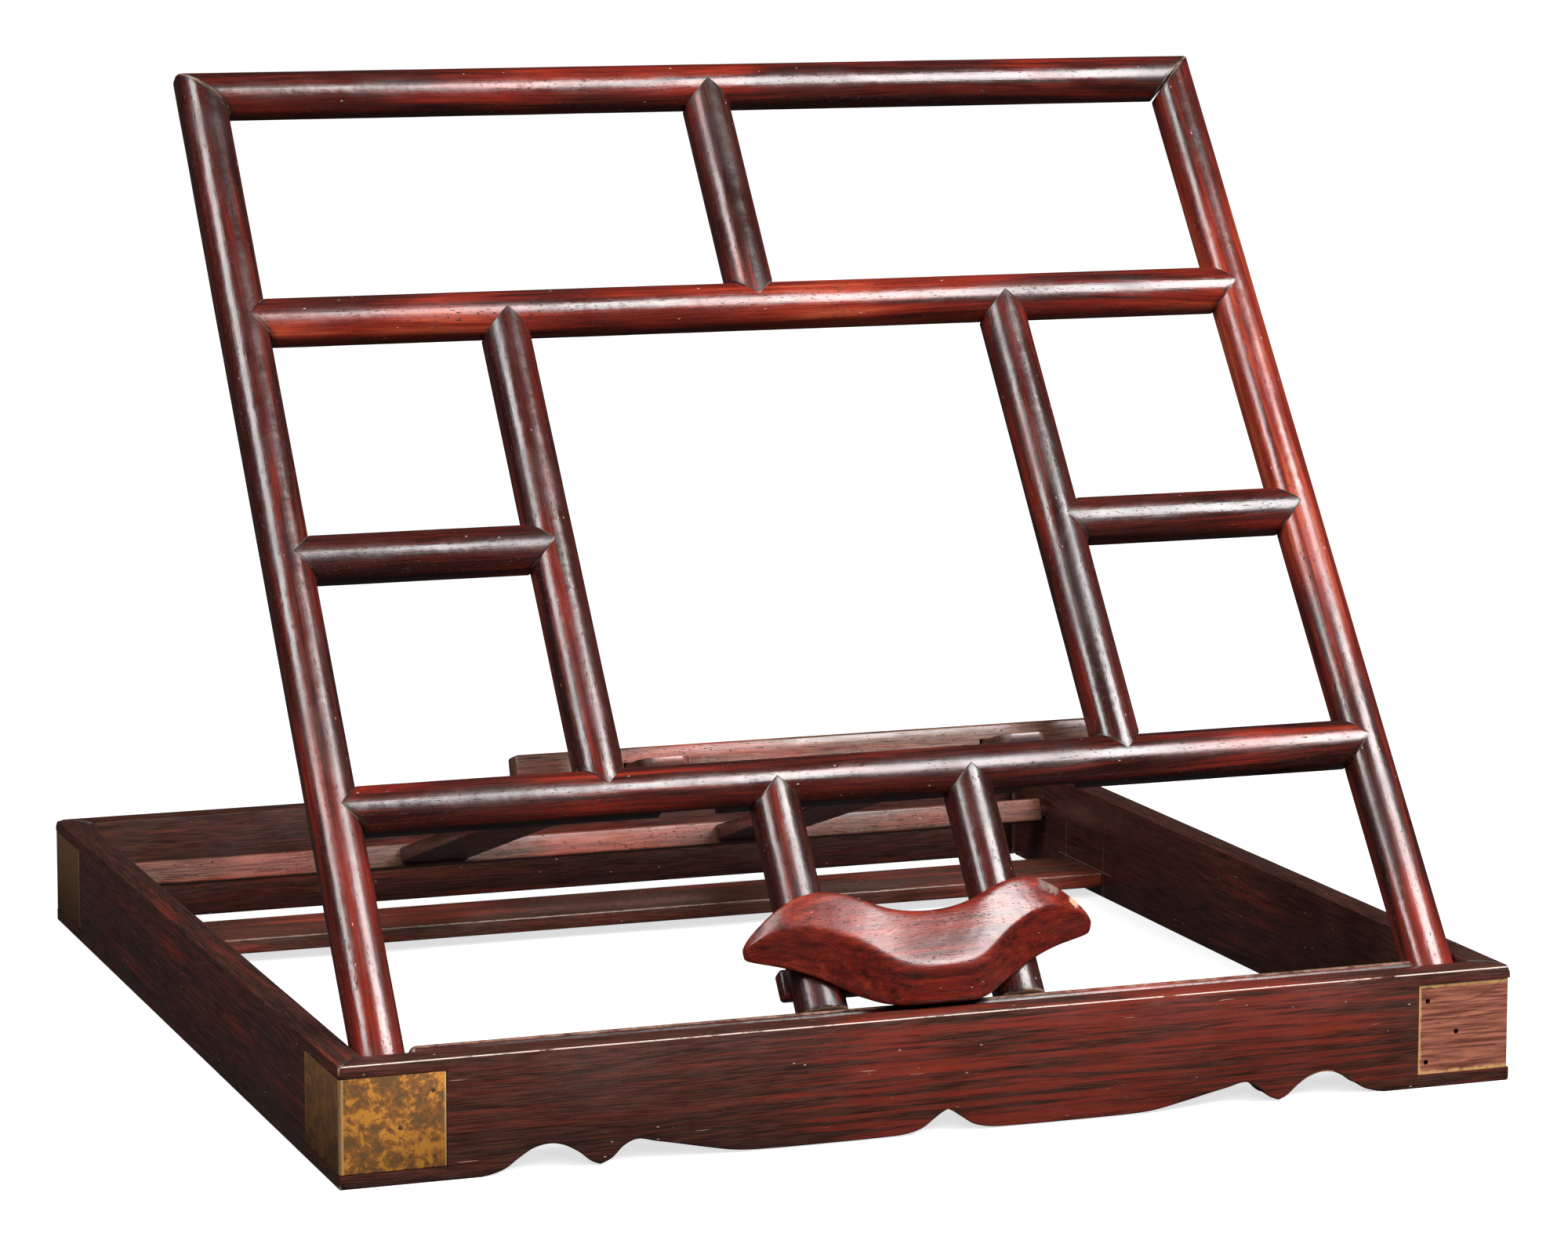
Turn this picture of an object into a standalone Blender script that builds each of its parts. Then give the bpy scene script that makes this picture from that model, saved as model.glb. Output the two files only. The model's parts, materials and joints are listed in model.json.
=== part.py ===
"""Folding rosewood mirror or book stand: a low base frame, a tilting lattice held up by a
hinged prop, and a carved rest that slides on the two guide posts. Metres, +Z up, front at -Y.
Drawn with the front face at Y = 0; the stand_origin empty then centres it over its footprint."""

import math

import bmesh
import bpy
from mathutils import Matrix, Vector

MM = 0.001

# Base frame
WIDTH = 360.0 * MM
DEPTH = 361.0 * MM
RAIL_HEIGHT = 34.7 * MM
RAIL_THICK = 9.2 * MM
CROWN = 0.7 * MM
GAP = 0.3 * MM

# Lattice
TILT = math.radians(53.4)
LATTICE_Y = 15.3 * MM
LATTICE_Z = 29.2 * MM
BAR_HALF = 7.3 * MM
BAR_FRONT = 5.0 * MM
BAR_BACK = -4.9 * MM
BAR_ROUND = 6.2 * MM
STILE_X = 162.9 * MM
UPRIGHT_X = 81.9 * MM
POST_X = 30.6 * MM
ROW_TOP = 323.4 * MM
ROW_SECOND = 242.0 * MM
ROW_SIDE = 160.8 * MM
ROW_LOWER = 79.2 * MM
BOTTOM_HALF = 4.6 * MM
PIVOT_RADIUS = 2.9 * MM
SEAT_DEPTH = 4.0 * MM

# Prop frame
PROP_RISE = math.radians(17.2)
PROP_Y = 325.8 * MM
PROP_Z = 21.1 * MM
PROP_BAR_HALF = 4.0 * MM
STRUT_X = 57.1 * MM
STRUT_WIDTH = 24.3 * MM
STRUT_THICK = 5.4 * MM
HEAD_BACK = 235.2 * MM
HEAD_FRONT = 243.3 * MM
HEAD_HALF = 99.0 * MM
TIP_REACH = 257.8 * MM
TIP_WIDTH = 15.8 * MM
TIP_THICK = 2.8 * MM

# Brass corners
LEAF = 30.6 * MM
SIDE_LEAF = 35.5 * MM
LEAF_LOW = 4.3 * MM
LEAF_HIGH = 30.9 * MM
LEAF_THICK = 0.9 * MM
RECESS = 1.1 * MM
PIN_RADIUS = 0.6 * MM


def clear_scene():
    """Removes what the file starts with, so that the stand is the only thing in it."""
    for obj in list(bpy.data.objects):
        bpy.data.objects.remove(obj, do_unlink=True)
    for group in list(bpy.data.collections):
        bpy.data.collections.remove(group)


def new_collection(name, hidden=False):
    group = bpy.data.collections.new(name)
    bpy.context.scene.collection.children.link(group)
    group.hide_render = hidden
    return group


def new_material(name, colour, roughness, metallic=0.0):
    mat = bpy.data.materials.new(name)
    mat.use_nodes = True
    shader = mat.node_tree.nodes["Principled BSDF"]
    shader.inputs["Base Color"].default_value = (*colour, 1.0)
    shader.inputs["Roughness"].default_value = roughness
    shader.inputs["Metallic"].default_value = metallic
    mat.diffuse_color = (*colour, 1.0)
    return mat


class Shop:
    """Makes pieces in a named collection and cutters in a hidden one."""

    def __init__(self):
        self.parts = new_collection("folding_lattice_stand")
        self.cutters = new_collection("cutters", hidden=True)
        self.origin = bpy.data.objects.new("stand_origin", None)
        self.origin.location = (0.0, -DEPTH / 2, 0.0)
        self.parts.objects.link(self.origin)

    def add(self, name, mesh, parent=None, colour=None, cutter=False):
        obj = bpy.data.objects.new(name, mesh)
        (self.cutters if cutter else self.parts).objects.link(obj)
        obj.parent = parent or self.origin
        if cutter:
            obj.hide_render = True
            obj.display_type = "WIRE"
        elif colour:
            rgb, roughness, metallic = colour
            obj.data.materials.append(new_material(name + "_finish", rgb, roughness, metallic))
        return obj

    def empty(self, name, location, tilt):
        obj = bpy.data.objects.new(name, None)
        obj.location = location
        obj.rotation_euler = (tilt, 0.0, 0.0)
        obj.empty_display_size = 0.02
        obj.parent = self.origin
        self.parts.objects.link(obj)
        return obj


def box_mesh(name, low, high, turn=None):
    """A cube primitive stretched between two corners, with an optional matrix after it."""
    bm = bmesh.new()
    low, high = Vector(low), Vector(high)
    size = high - low
    place = Matrix.Translation((low + high) / 2) @ Matrix.Diagonal((*size, 1.0))
    bmesh.ops.create_cube(bm, size=1.0, matrix=place)
    if turn:
        bmesh.ops.transform(bm, matrix=turn, verts=bm.verts)
    mesh = bpy.data.meshes.new(name)
    bm.to_mesh(mesh)
    bm.free()
    return mesh


def round_box_mesh(name, low, high, radius, steps=2, axes="xyz"):
    """A box whose edges along the named axes are rounded."""
    mesh = box_mesh(name, low, high)
    bm = bmesh.new()
    bm.from_mesh(mesh)
    wanted = []
    for edge in bm.edges:
        way = (edge.verts[1].co - edge.verts[0].co).normalized()
        if any(abs(way["xyz".index(axis)]) > 0.99 for axis in axes):
            wanted.append(edge)
    bmesh.ops.bevel(bm, geom=wanted, offset=radius, segments=steps, profile=0.5, affect="EDGES")
    bm.to_mesh(mesh)
    bm.free()
    return mesh


def rod_mesh(name, start, end, radius, sides=16):
    """A closed cylinder between two points."""
    start, end = Vector(start), Vector(end)
    way = end - start
    place = Matrix.Translation((start + end) / 2) @ way.to_track_quat("Z", "Y").to_matrix().to_4x4()
    bm = bmesh.new()
    bmesh.ops.create_cone(
        bm,
        cap_ends=True,
        segments=sides,
        radius1=radius,
        radius2=radius,
        depth=way.length,
        matrix=place,
    )
    mesh = bpy.data.meshes.new(name)
    bm.to_mesh(mesh)
    bm.free()
    return mesh


def outline_mesh(name, points, thickness, place, bevel=0.0, bevel_steps=2):
    """A flat outline as a filled 2D curve with thickness, turned into a welded mesh."""
    curve = bpy.data.curves.new(name, "CURVE")
    curve.dimensions = "2D"
    curve.fill_mode = "BOTH"
    curve.extrude = thickness / 2 - bevel
    curve.bevel_depth = bevel
    curve.bevel_resolution = bevel_steps
    curve.offset = -bevel
    spline = curve.splines.new("POLY")
    spline.points.add(len(points) - 1)
    for point, (across, up) in zip(spline.points, points):
        point.co = (across, up, 0.0, 1.0)
    spline.use_cyclic_u = True
    holder = bpy.data.objects.new(name + "_outline", curve)
    bpy.context.scene.collection.objects.link(holder)
    graph = bpy.context.evaluated_depsgraph_get()
    mesh = bpy.data.meshes.new_from_object(holder.evaluated_get(graph))
    bpy.data.objects.remove(holder, do_unlink=True)
    bpy.data.curves.remove(curve)
    mesh.name = name
    bm = bmesh.new()
    bm.from_mesh(mesh)
    bmesh.ops.remove_doubles(bm, verts=bm.verts, dist=1e-6)
    bmesh.ops.transform(bm, matrix=place, verts=bm.verts)
    bmesh.ops.recalc_face_normals(bm, faces=bm.faces)
    bm.to_mesh(mesh)
    bm.free()
    return mesh


def along_x(centre):
    """Puts an outline drawn as (y, z) across the X axis, with its thickness along X."""
    turn = Matrix(((0, 0, 1, 0), (1, 0, 0, 0), (0, 1, 0, 0), (0, 0, 0, 1)))
    return Matrix.Translation(centre) @ turn


def along_y(centre):
    """Puts an outline drawn as (x, z) across the Y axis, with its thickness along Y."""
    turn = Matrix(((1, 0, 0, 0), (0, 0, -1, 0), (0, 1, 0, 0), (0, 0, 0, 1)))
    return Matrix.Translation(centre) @ turn


def along_z(centre):
    return Matrix.Translation(centre)


def cut(obj, cutter, operation="DIFFERENCE"):
    mod = obj.modifiers.new("cut_" + cutter.name, "BOOLEAN")
    mod.operation = operation
    mod.solver = "EXACT"
    mod.object = cutter
    return mod


def bar_profile(grow=0.0, steps=10):
    """Section of a lattice bar: flat back, short flat sides and a half-round front."""
    half = BAR_HALF + grow
    back = BAR_BACK - grow
    spring = BAR_FRONT - BAR_ROUND
    rise = BAR_ROUND + grow
    points = [(-half, back), (-half, spring)]
    for step in range(1, steps):
        angle = math.pi * step / steps
        points.append((-half * math.cos(angle), spring + rise * math.sin(angle)))
    points += [(half, spring), (half, back)]
    return points


def bar_along_x(name, row, left, right, grow=0.0):
    """A lattice bar lying across the frame at a given height up the slope."""
    middle = (left + right) / 2
    return outline_mesh(name, bar_profile(grow), right - left, along_x((middle, row, 0.0)))


def bar_along_s(name, column, low, high, grow=0.0):
    """A lattice bar running up the slope at a given distance from the middle."""
    middle = (low + high) / 2
    return outline_mesh(name, bar_profile(grow), high - low, along_y((column, middle, 0.0)))


def rail_profile():
    """Section of a base rail: plain faces with a low crown on top."""
    t, h = RAIL_THICK, RAIL_HEIGHT
    return [
        (0.0, 0.0),
        (0.0, h - 0.9 * MM),
        (0.5 * MM, h - 0.2 * MM),
        (0.25 * t, h + 0.7 * CROWN),
        (0.5 * t, h + CROWN),
        (0.75 * t, h + 0.7 * CROWN),
        (t - 0.5 * MM, h - 0.2 * MM),
        (t, h - 0.9 * MM),
        (t, 0.0),
    ]


def apron_outline():
    """The front rail's shaped lower edge, drawn once for the right half and mirrored."""
    foot, high = WIDTH / 2, RAIL_HEIGHT + 3 * MM
    half = [
        (0.0, 7.0),
        (2.2, 5.9),
        (4.2, 4.5),
        (7.8, 2.1),
        (12.0, 0.9),
        (16.5, 0.5),
        (58.0, 0.5),
        (65.0, 1.0),
        (73.0, 2.5),
        (82.0, 4.4),
        (88.0, 5.6),
        (93.5, 6.7),
        (97.5, 5.2),
        (101.0, 2.0),
        (104.4, 0.5),
        (107.0, 1.6),
        (111.0, 4.8),
        (115.0, 6.9),
        (119.2, 7.7),
        (124.0, 6.8),
        (128.5, 4.2),
        (132.0, 1.8),
        (136.0, 0.5),
        (138.0, 0.0),
    ]
    past = 3 * MM
    corner = [(foot - 1.6 * MM, 0.0), (foot + past, 1.6 * MM + past), (foot + past, high)]
    right = [(x * MM, z * MM) for x, z in half] + corner
    left = [(-x, z) for x, z in reversed(right[1:])]
    return right + left


ROSEWOOD = (0.105, 0.026, 0.018)
DARK_ROSEWOOD = (0.060, 0.018, 0.013)
LIGHT_ROSEWOOD = (0.150, 0.050, 0.034)
BRASS = (0.50, 0.27, 0.085)
OLD_BRASS = (0.12, 0.075, 0.038)


def wood(shade=ROSEWOOD, gloss=0.24):
    return (shade, gloss, 0.0)


def mitre_cutter(shop, name, corner, outward_x, outward_y):
    """Removes what lies past the diagonal that runs inwards from a base corner."""
    reach = 0.05
    angle = math.atan2(-outward_y, -outward_x)
    turn = Matrix.Translation(corner) @ Matrix.Rotation(angle, 4, "Z")
    low = (-reach, -GAP / 2, -0.01)
    high = (reach, reach, RAIL_HEIGHT + 0.01)
    return shop.add(name, box_mesh(name, low, high, turn), cutter=True)


def mitre_cutter_other(shop, name, corner, outward_x, outward_y):
    """Removes what lies on the other side of the same diagonal."""
    reach = 0.05
    angle = math.atan2(-outward_y, -outward_x)
    turn = Matrix.Translation(corner) @ Matrix.Rotation(angle, 4, "Z")
    low = (-reach, -reach, -0.01)
    high = (reach, GAP / 2, RAIL_HEIGHT + 0.01)
    return shop.add(name, box_mesh(name, low, high, turn), cutter=True)


def pin_spots():
    """Where the nails of one leaf sit, as (distance from the corner, height)."""
    return ((27.0 * MM, 26.0 * MM), (17.5 * MM, 16.2 * MM), (27.33 * MM, 7.62 * MM))


def build_base(shop):
    half = WIDTH / 2
    rails = {
        "front_rail": outline_mesh(
            "front_rail", rail_profile(), WIDTH, along_x((0.0, 0.0, 0.0))
        ),
        "rear_rail": outline_mesh(
            "rear_rail",
            [(DEPTH - y, z) for y, z in rail_profile()],
            WIDTH,
            along_x((0.0, 0.0, 0.0)),
        ),
        "left_rail": outline_mesh(
            "left_rail",
            [(x - half, z) for x, z in rail_profile()],
            DEPTH,
            along_y((0.0, DEPTH / 2, 0.0)),
        ),
        "right_rail": outline_mesh(
            "right_rail",
            [(half - x, z) for x, z in rail_profile()],
            DEPTH,
            along_y((0.0, DEPTH / 2, 0.0)),
        ),
    }
    made = {}
    for name, mesh in rails.items():
        made[name] = shop.add(name, mesh, colour=wood())
    apron = shop.add(
        "apron_shape",
        outline_mesh("apron_shape", apron_outline(), 0.03, along_y((0.0, 0.005, 0.0))),
        cutter=True,
    )
    cut(made["front_rail"], apron, "INTERSECT")

    corners = {
        "front_left": (-half, 0.0, -1, -1),
        "front_right": (half, 0.0, 1, -1),
        "rear_left": (-half, DEPTH, -1, 1),
        "rear_right": (half, DEPTH, 1, 1),
    }
    for place, (x, y, out_x, out_y) in corners.items():
        first = mitre_cutter(shop, "mitre_a_" + place, (x, y, 0.0), out_x, out_y)
        second = mitre_cutter_other(shop, "mitre_b_" + place, (x, y, 0.0), out_x, out_y)
        end, side = place.split("_")
        long_rail = made[end + "_rail"]
        short_rail = made[side + "_rail"]
        long_first = (out_x > 0) == (out_y > 0)
        cut_corner_recess(shop, made, place, x, y, out_x, out_y)
        cut(long_rail, first if long_first else second)
        cut(short_rail, second if long_first else first)
        if place != "front_right":
            add_brass_corner(shop, place, x, y, out_x, out_y)

    for side, out_x in (("left", -1), ("right", 1)):
        for label, spot_y, spot_z, radius in (
            ("lattice", LATTICE_Y, LATTICE_Z, PIVOT_RADIUS + GAP),
            ("prop", PROP_Y, PROP_Z, 2.6 * MM + GAP),
        ):
            name = "socket_" + label + "_" + side
            start = (out_x * (half - RAIL_THICK - 2 * MM), spot_y, spot_z)
            end = (out_x * (half - 2.6 * MM), spot_y, spot_z)
            hole = shop.add(name, rod_mesh(name, start, end, radius), cutter=True)
            cut(made[side + "_rail"], hole)

    inner = half - RAIL_THICK - GAP
    shop.add(
        "cross_rail",
        round_box_mesh(
            "cross_rail",
            (-inner, 273.6 * MM, 3.6 * MM),
            (inner, 304.2 * MM, 8.6 * MM),
            0.6 * MM,
            steps=1,
            axes="x",
        ),
        colour=wood(DARK_ROSEWOOD, 0.32),
    )
    return made


def cut_corner_recess(shop, made, place, x, y, out_x, out_y):
    """A shallow L-shaped bed for a brass corner, with nail holes."""
    end, side = place.split("_")
    end_rail, side_rail = made[end + "_rail"], made[side + "_rail"]
    slack = 0.25 * MM
    low_z, high_z = LEAF_LOW - slack, LEAF_HIGH + slack
    wide = LEAF + slack if place != "front_right" else LEAF - 0.5 * MM
    deep = SIDE_LEAF + slack
    skin = 2 * MM

    def bed(name, across, along):
        across, along = sorted(across), sorted(along)
        mesh = box_mesh(name, (across[0], along[0], low_z), (across[1], along[1], high_z))
        return shop.add(name, mesh, cutter=True)

    def nail_hole(name, start, end):
        return shop.add(name, rod_mesh(name, start, end, PIN_RADIUS + 0.2 * MM, 12), cutter=True)

    outer_x, outer_y = x + out_x * skin, y + out_y * skin
    face = bed("bed_face_" + place, (outer_x, x - out_x * wide), (outer_y, y - out_y * RECESS))
    other = bed("bed_side_" + place, (outer_x, x - out_x * RECESS), (outer_y, y - out_y * deep))
    cut(end_rail, face)
    cut(side_rail, other)
    cut(end_rail, other)
    cut(side_rail, face)
    for number, (away, height) in enumerate(pin_spots()):
        spot = x - out_x * away
        start, end = (spot, y + out_y * MM, height), (spot, y - out_y * 5 * MM, height)
        cut(end_rail, nail_hole(f"nail_face_{place}_{number}", start, end))
        spot = y - out_y * away * 1.1
        start, end = (x + out_x * MM, spot, height), (x - out_x * 5 * MM, spot, height)
        cut(side_rail, nail_hole(f"nail_side_{place}_{number}", start, end))


def add_brass_corner(shop, place, x, y, out_x, out_y):
    """One L-shaped plate let in flush, and the six nails that hold it."""
    colour = (BRASS, 0.42, 1.0) if place == "front_left" else (OLD_BRASS, 0.5, 1.0)
    outline = [
        (x, y),
        (x - out_x * LEAF, y),
        (x - out_x * LEAF, y - out_y * LEAF_THICK),
        (x - out_x * LEAF_THICK, y - out_y * LEAF_THICK),
        (x - out_x * LEAF_THICK, y - out_y * SIDE_LEAF),
        (x, y - out_y * SIDE_LEAF),
    ]
    middle = (LEAF_LOW + LEAF_HIGH) / 2
    mesh = outline_mesh("brass_" + place, outline, LEAF_HIGH - LEAF_LOW, along_z((0.0, 0.0, middle)))
    plate = shop.add("brass_" + place, mesh, colour=colour)
    for number, (away, height) in enumerate(pin_spots()):
        spot = x - out_x * away
        ends = ((spot, y + out_y * 0.1 * MM, height), (spot, y - out_y * 4 * MM, height))
        name = f"pin_{place}_face_{number + 1}"
        shop.add(name, rod_mesh(name, *ends, PIN_RADIUS, 12), colour=colour)
        name = f"hole_{place}_face_{number + 1}"
        ends = ((spot, y + out_y * MM, height), (spot, y - out_y * 2 * MM, height))
        cut(plate, shop.add(name, rod_mesh(name, *ends, PIN_RADIUS + 0.2 * MM, 12), cutter=True))
        spot = y - out_y * away * 1.1
        ends = ((x + out_x * 0.1 * MM, spot, height), (x - out_x * 4 * MM, spot, height))
        name = f"pin_{place}_side_{number + 1}"
        shop.add(name, rod_mesh(name, *ends, PIN_RADIUS, 12), colour=colour)
        name = f"hole_{place}_side_{number + 1}"
        ends = ((x + out_x * MM, spot, height), (x - out_x * 2 * MM, spot, height))
        cut(plate, shop.add(name, rod_mesh(name, *ends, PIN_RADIUS + 0.2 * MM, 12), cutter=True))


def build_lattice(shop):
    axis = shop.empty("lattice_axis", (0.0, LATTICE_Y, LATTICE_Z), TILT)
    cutters = {}

    def shoulder(name, mesh):
        cutters[name] = shop.add("shoulder_" + name, mesh, axis, cutter=True)

    top_edge = ROW_TOP + BAR_HALF
    shoulder("left_stile", bar_along_s("s1", -STILE_X, -0.02, top_edge + 0.02, GAP))
    shoulder("right_stile", bar_along_s("s2", STILE_X, -0.02, top_edge + 0.02, GAP))
    shoulder("left_upright", bar_along_s("s3", -UPRIGHT_X, ROW_LOWER - 0.01, ROW_SECOND + 0.01, GAP))
    shoulder("right_upright", bar_along_s("s4", UPRIGHT_X, ROW_LOWER - 0.01, ROW_SECOND + 0.01, GAP))
    for name, row in (("top", ROW_TOP), ("second", ROW_SECOND), ("lower", ROW_LOWER)):
        shoulder(name, bar_along_x("s_" + name, row, -STILE_X - 0.01, STILE_X + 0.01, GAP))

    def mitre(name, sign, keep_bar):
        """The diagonal at a top corner: it removes one side of it."""
        corner = (sign * (STILE_X + BAR_HALF), top_edge, 0.0)
        turn = Matrix.Translation(corner) @ Matrix.Rotation(math.radians(45.0 * sign), 4, "Z")
        reach = 0.06
        if keep_bar:
            low, high = (-reach, -reach, -0.02), (reach, 0.0, 0.02)
        else:
            low, high = (-reach, 0.0, -0.02), (reach, reach, 0.02)
        slip = GAP / 2 if keep_bar else -GAP / 2
        mesh = box_mesh(name, low, high, turn @ Matrix.Translation((0.0, slip, 0.0)))
        return shop.add(name, mesh, axis, cutter=True)

    pieces = {}

    def piece(name, mesh, gloss=0.22):
        pieces[name] = shop.add(name, mesh, axis, colour=wood(ROSEWOOD, gloss))
        return pieces[name]

    for side, sign in (("left", -1), ("right", 1)):
        stile = piece(side + "_stile", bar_along_s(side + "_stile", sign * STILE_X, -2.6 * MM, top_edge))
        cut(stile, mitre("mitre_stile_" + side, sign, False))
        name = "bore_" + side
        ends = ((sign * (STILE_X - 0.02), 0.0, 0.0), (sign * (STILE_X + 0.02), 0.0, 0.0))
        cut(stile, shop.add(name, rod_mesh(name, *ends, PIVOT_RADIUS + 0.25 * MM), axis, cutter=True))

    top = piece("top_bar", bar_along_x("top_bar", ROW_TOP, -STILE_X - BAR_HALF, STILE_X + BAR_HALF))
    for side, sign in (("left", -1), ("right", 1)):
        cut(top, mitre("mitre_top_" + side, sign, True))

    for name, row in (("second_bar", ROW_SECOND), ("lower_bar", ROW_LOWER)):
        bar = piece(name, bar_along_x(name, row, -STILE_X, STILE_X))
        cut(bar, cutters["left_stile"])
        cut(bar, cutters["right_stile"])
    for sign in (-1, 1):
        name = "seat_left" if sign < 0 else "seat_right"
        low = (sign * STRUT_X - 9.0 * MM, ROW_LOWER - 0.01, BAR_BACK - 2 * MM)
        high = (sign * STRUT_X + 9.0 * MM, ROW_LOWER + 0.01, BAR_BACK + SEAT_DEPTH)
        cut(pieces["lower_bar"], shop.add(name, box_mesh(name, low, high), axis, cutter=True))

    centre = piece("centre_upright", bar_along_s("centre_upright", 0.0, ROW_SECOND, ROW_TOP))
    cut(centre, cutters["second"])
    cut(centre, cutters["top"])
    for side, sign in (("left", -1), ("right", 1)):
        name = side + "_inner_upright"
        upright = piece(name, bar_along_s(name, sign * UPRIGHT_X, ROW_LOWER, ROW_SECOND))
        cut(upright, cutters["lower"])
        cut(upright, cutters["second"])
        name = side + "_side_bar"
        ends = sorted((sign * UPRIGHT_X, sign * STILE_X))
        bar = piece(name, bar_along_x(name, ROW_SIDE, *ends))
        cut(bar, cutters[side + "_stile"])
        cut(bar, cutters[side + "_upright"])
        name = side + "_guide_post"
        post = piece(name, bar_along_s(name, sign * POST_X, BOTTOM_HALF + GAP, ROW_LOWER))
        cut(post, cutters["lower"])

    inner = STILE_X - BAR_HALF - GAP
    rail = piece(
        "bottom_rail",
        round_box_mesh(
            "bottom_rail",
            (-inner, -BOTTOM_HALF, -BOTTOM_HALF),
            (inner, BOTTOM_HALF, BOTTOM_HALF),
            1.8 * MM,
            steps=3,
            axes="x",
        ),
    )
    ends = ((-WIDTH / 2 + 4.0 * MM, 0.0, 0.0), (WIDTH / 2 - 4.0 * MM, 0.0, 0.0))
    pivot = shop.add("pivot_rod", rod_mesh("pivot_rod", *ends, PIVOT_RADIUS), axis, cutter=True)
    cut(rail, pivot, "UNION")
    return axis


def build_prop(shop):
    axis = shop.empty("prop_axis", (0.0, PROP_Y, PROP_Z), -PROP_RISE)
    half = PROP_BAR_HALF
    reach = WIDTH / 2 - RAIL_THICK - 2.5 * MM
    bar = shop.add(
        "prop_pivot_bar",
        round_box_mesh(
            "prop_pivot_bar", (-reach, -half, -half), (reach, half, half), 0.5 * MM, steps=1, axes="x"
        ),
        axis,
        colour=wood(LIGHT_ROSEWOOD, 0.3),
    )
    ends = ((-WIDTH / 2 + 4.0 * MM, 0.0, 0.0), (WIDTH / 2 - 4.0 * MM, 0.0, 0.0))
    cut(bar, shop.add("prop_rod", rod_mesh("prop_rod", *ends, 2.6 * MM), axis, cutter=True), "UNION")

    head = shop.add(
        "prop_head_bar",
        round_box_mesh(
            "prop_head_bar",
            (-HEAD_HALF, -HEAD_FRONT, -4.8 * MM),
            (HEAD_HALF, -HEAD_BACK, 6.3 * MM),
            0.8 * MM,
            steps=2,
            axes="xyz",
        ),
        axis,
        colour=wood(LIGHT_ROSEWOOD, 0.3),
    )
    for side, sign in (("left", -1), ("right", 1)):
        name = side + "_strut"
        x = sign * STRUT_X
        strut = shop.add(
            name,
            round_box_mesh(
                name,
                (x - STRUT_WIDTH / 2, -HEAD_BACK + GAP, -STRUT_THICK / 2),
                (x + STRUT_WIDTH / 2, -half - GAP, STRUT_THICK / 2),
                0.5 * MM,
                steps=1,
                axes="y",
            ),
            axis,
            colour=wood(ROSEWOOD, 0.28),
        )
        tip = outline_mesh(
            "tip_" + side,
            [
                (x - TIP_WIDTH / 2, -HEAD_BACK + 4 * MM),
                (x - TIP_WIDTH / 2, -TIP_REACH + 4.5 * MM),
                (x - TIP_WIDTH / 2 + 3.4 * MM, -TIP_REACH),
                (x + TIP_WIDTH / 2 - 2.8 * MM, -TIP_REACH),
                (x + TIP_WIDTH / 2, -TIP_REACH + 3.0 * MM),
                (x + TIP_WIDTH / 2, -HEAD_BACK + 4 * MM),
            ],
            TIP_THICK,
            along_z((0.0, 0.0, 0.0)),
        )
        cut(strut, shop.add("tip_" + side, tip, axis, cutter=True), "UNION")
        low = (x - 0.02, -TIP_REACH - 0.01, -0.01)
        high = (x + 0.02, -TIP_REACH, 0.0)
        turn = (
            Matrix.Translation((0.0, -TIP_REACH + 1.3 * MM, -TIP_THICK / 2))
            @ Matrix.Rotation(math.radians(-45.0), 4, "X")
            @ Matrix.Translation((0.0, TIP_REACH, 0.0))
        )
        name = "tip_bevel_" + side
        cut(strut, shop.add(name, box_mesh(name, low, high, turn), axis, cutter=True))
        slot = (
            (x - TIP_WIDTH / 2 - 0.7 * MM, -HEAD_FRONT - 0.01, -TIP_THICK / 2 - 0.3 * MM),
            (x + TIP_WIDTH / 2 + 0.3 * MM, -HEAD_BACK + 0.01, TIP_THICK / 2 + 0.3 * MM),
        )
        name = "head_slot_" + side
        cut(head, shop.add(name, box_mesh(name, *slot), axis, cutter=True))
    return axis


def rest_sections():
    """Stations across the carved rest, as distance from the middle and then the rim, the ridge
    under it and the lowest line, each as (height up the slope, reach out from the lattice)."""
    return (
        (0.0, (27.2, 18.0), (8.3, 20.6), (-0.6, 13.0), 4.7),
        (7.0, (27.6, 18.3), (8.7, 20.5), (-0.5, 12.8), 4.7),
        (12.5, (28.8, 18.8), (9.8, 20.2), (0.2, 11.8), 4.8),
        (17.0, (30.6, 19.2), (13.0, 19.9), (2.4, 9.6), 5.0),
        (22.0, (33.0, 19.2), (17.0, 19.6), (6.4, 7.4), 7.0),
        (28.0, (35.2, 18.6), (21.0, 19.0), (10.6, 6.8), 11.0),
        (34.0, (35.7, 17.5), (24.0, 18.2), (14.0, 6.6), 14.4),
        (40.0, (34.2, 15.9), (25.6, 16.8), (16.6, 6.5), 16.9),
        (45.0, (31.6, 14.0), (25.4, 15.0), (18.2, 6.4), 18.4),
        (49.5, (28.4, 11.8), (24.2, 12.8), (19.3, 6.3), 19.5),
        (52.6, (25.8, 9.8), (23.2, 10.6), (20.2, 6.2), 20.4),
        (53.8, (24.2, 8.4), (22.8, 8.9), (21.0, 6.1), 21.2),
    )


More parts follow.
